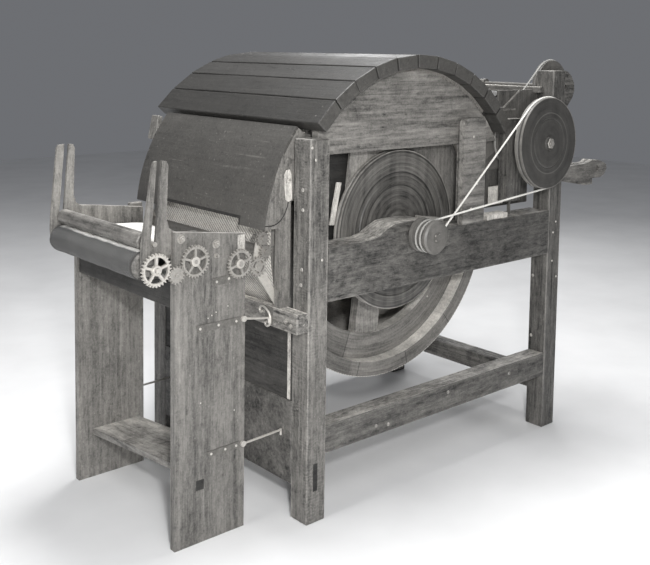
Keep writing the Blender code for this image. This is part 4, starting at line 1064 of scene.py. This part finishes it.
add(
    "plank_inlay", slab((-0.171, 0.1247, 0.848), (-0.146, 0.1258, 0.896), 2, 0.0002, 3.0), "pale",
    bevel=0.0003,
)
add(
    "plank_plug", slab((-0.315, 0.1246, 0.160), (-0.288, 0.1258, 0.190), 2, 0.0002, 7.0), "dark",
    bevel=0.0003,
)
for index, (x, z) in enumerate(
    ((-0.247, 0.679), (-0.262, 0.672), (-0.275, 0.666), (-0.205, 0.690), (-0.300, 0.420), (-0.180, 0.370))
):
    add(
        f"plank_tack_{index + 1}", stack((x, PLANK_FACE_Y, z), "-Y", ((0.0022, 0.0016, 0.0010, 8),)),
        "iron_bright",
    )

scroll = [
    (0.160, 0.640), (0.168, 0.634), (0.176, 0.642), (0.170, 0.655), (0.154, 0.658), (0.136, 0.650),
    (0.124, 0.640), (0.118, 0.622),
]
scroll += [(0.122, 0.606), (0.134, 0.598), (0.146, 0.602), (0.146, 0.612), (0.137, 0.612)]
wire("hook_scroll_near", [(-0.0500, y, z) for y, z in scroll], 0.0036, "iron_bright")
add(
    "hook_scroll_plate", slab((-0.0475, 0.112, 0.606), (-0.0456, 0.150, 0.660), 2, 0.0003, 1.0),
    "iron_dark", bevel=0.0006,
)
for index, (y, z) in enumerate(((0.051, 0.632), (0.027, 0.622))):
    add(
        f"bar_nut_{index + 1}",
        stack((-0.0455, y, z), "-X", ((0.009, 0.008, 0.004, 4), (0.004, 0.003, 0.003, 8))), "iron",
    )

# Wheel bosses and shaft ends
BOSSES = (
    (
        "wheel_front_boss", FRONT_ROLLER, "front_roller", 0.1078,
        ((0.0150, 0.0140, 0.0040, 20), (0.0085, 0.0080, 0.0050, 4)),
    ),
    (
        "wheel_middle_boss", middle_of("wheel_middle"), "middle_wheel", 0.1078,
        ((0.0145, 0.0135, 0.0026, 20),),
    ),
    ("wheel_rear_boss", REAR_ROLLER, "rear_roller", 0.1078, ((0.0140, 0.0130, 0.0040, 20),)),
)
for name, centre, body, y, layers in BOSSES:
    add(name, stack((centre[0], y, centre[1]), "-Y", layers, SQUARE), "iron_bright", body, bevel=0.0006)
add(
    "doffer_pulley_nut",
    stack(
        (DOFFER[0], -0.0812, DOFFER[1]), "-Y", ((0.021, 0.019, 0.0030, 6), (0.013, 0.012, 0.0040, 5)), 0.4,
    ),
    "iron", "doffer", bevel=0.001,
)
add(
    "cord_pulley_nut",
    stack(
        (AXIS[0], -0.0842, AXIS[1]), "-Y", ((0.016, 0.0145, 0.0030, 4), (0.0075, 0.0060, 0.0025, 8)), 0.9,
    ),
    "iron", "cylinder", bevel=0.001,
)


def comb_teeth():
    low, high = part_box("doffer_comb")
    edge_x = low.x + 0.003
    work = bmesh.new()
    first = ORIGIN.y + 0.120
    last = ORIGIN.y + 0.752
    count = 150
    for index in range(count):
        y = first + (last - first) * index / (count - 1)
        made = bmesh.ops.create_cone(
            work, cap_ends=True, segments=4, radius1=0.0014, radius2=0.0004, depth=0.008,
        )
        bmesh.ops.transform(
            work, matrix=Matrix.Translation((edge_x, y, high.z + 0.0035)), verts=made["verts"],
        )
    add("comb_teeth", as_mesh(work, "comb_teeth"), "iron", "doffer_comb")


comb_teeth()


# Apron
def apron():
    """The canvas feed apron: a closed belt round its two rollers, whose lower run sags a little."""
    r_front = APRON_ROLLERS_R[0] + APRON_CLEARANCE
    r_rear = APRON_ROLLERS_R[1] + APRON_CLEARANCE
    span = math.dist(FRONT_ROLLER, REAR_ROLLER)
    along = math.atan2(REAR_ROLLER[1] - FRONT_ROLLER[1], REAR_ROLLER[0] - FRONT_ROLLER[0])
    lean = math.asin((r_front - r_rear) / span)
    top = along + math.pi / 2 - lean
    bottom = along - math.pi / 2 + lean
    path = arc(FRONT_ROLLER, r_front, top, bottom + 2 * math.pi, 21)
    start, end = path[-1], polar(REAR_ROLLER, r_rear, bottom)
    for step in range(1, 16):
        share = step / 16
        sag = 0.0018 * math.sin(math.pi * share)
        path.append((start[0] + (end[0] - start[0]) * share, start[1] + (end[1] - start[1]) * share - sag))
    path += arc(REAR_ROLLER, r_rear, bottom, top, 21)
    start, end = path[-1], polar(FRONT_ROLLER, r_front, top)
    path += [
        (start[0] + (end[0] - start[0]) * i / 16, start[1] + (end[1] - start[1]) * i / 16)
        for i in range(1, 16)
    ]
    count = len(path)
    low, high = APRON_WIDTH
    columns = 40
    work = bmesh.new()
    grid = []
    for column in range(columns + 1):
        y = low + (high - low) * column / columns
        ring = []
        for index, (x, z) in enumerate(path):
            wave = 0.0005 * math.sin(y * 70 + x * 35) + 0.0004 * math.sin(y * 31 - x * 60)
            ring.append(work.verts.new(place(x, y + 0.0012 * math.sin(index * 0.7), z + wave)))
        grid.append(ring)
    for a, b in zip(grid, grid[1:]):
        for i in range(count):
            work.faces.new((a[i], b[i], b[(i + 1) % count], a[(i + 1) % count]))
    bmesh.ops.recalc_face_normals(work, faces=work.faces)
    belt = add("apron_cloth", as_mesh(work, "apron"), "canvas", "frame", smooth=True)
    thick = belt.modifiers.new("thickness", "SOLIDIFY")
    thick.thickness = 0.0012
    thick.offset = 0.0
    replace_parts(belt, "feed_apron")


apron()

# Floor and light
floor_mesh = bpy.data.meshes.new("floor")
floor_mesh.from_pydata([(-9, -9, 0), (9, -9, 0), (9, 9, 0), (-9, 9, 0)], [], [(0, 1, 2, 3)])
floor_look = Tree("studio_floor")
# The floor's own faint mottle, with no light painted in it.
dust_and_top_light = floor_look.noise(floor_look.here, 3.0, 4.0)
floor_mesh.materials.append(
    floor_look.finish(floor_look.span(dust_and_top_light, 0.3, 0.7, 0.74, 0.80), 0.85, None, tint=(1.0, 1.0, 1.0))
)
floor = bpy.data.objects.new("studio_floor", floor_mesh)
floor.location.z = -0.0005
link(floor)


def area(name, at, target, size, power):
    light = bpy.data.lights.new(name, "AREA")
    light.shape = "DISK"
    light.size = size
    light.energy = power
    obj = bpy.data.objects.new(name, light)
    obj.location = at
    obj.rotation_mode = "QUATERNION"
    obj.rotation_quaternion = (Vector(target) - Vector(at)).to_track_quat("-Z", "Y")
    link(obj)


eye = camera.matrix_world.translation
area("key", eye + right * 0.18 + Vector((0, 0, 0.36)), place(0.35, 0.35, 0.65), 0.22, 66)
area("low_key", eye + right * 0.30 - Vector((0, 0, 0.45)), place(0.35, 0.2, 0.65), 0.30, 32)
area("high_front", (-2.2, -3.2, 3.6), (0.0, 0.0, 0.7), 2.0, 60)
area("top", (0.1, 0.2, 3.9), (0.0, 0.0, 0.8), 1.6, 150)
area("side", (-3.4, -0.4, 1.5), (-0.2, 0.0, 0.6), 1.2, 22)
area("rim", (3.0, 2.6, 2.6), (0.3, 0.0, 0.8), 1.8, 34)
world = bpy.data.worlds.new("studio")
bpy.context.scene.world = world
world.use_nodes = True
world.node_tree.nodes["Background"].inputs[0].default_value = (0.9, 0.93, 1.0, 1.0)
world.node_tree.nodes["Background"].inputs[1].default_value = 0.17
bpy.context.scene.view_settings.view_transform = "Standard"
bpy.context.scene.view_settings.look = "None"
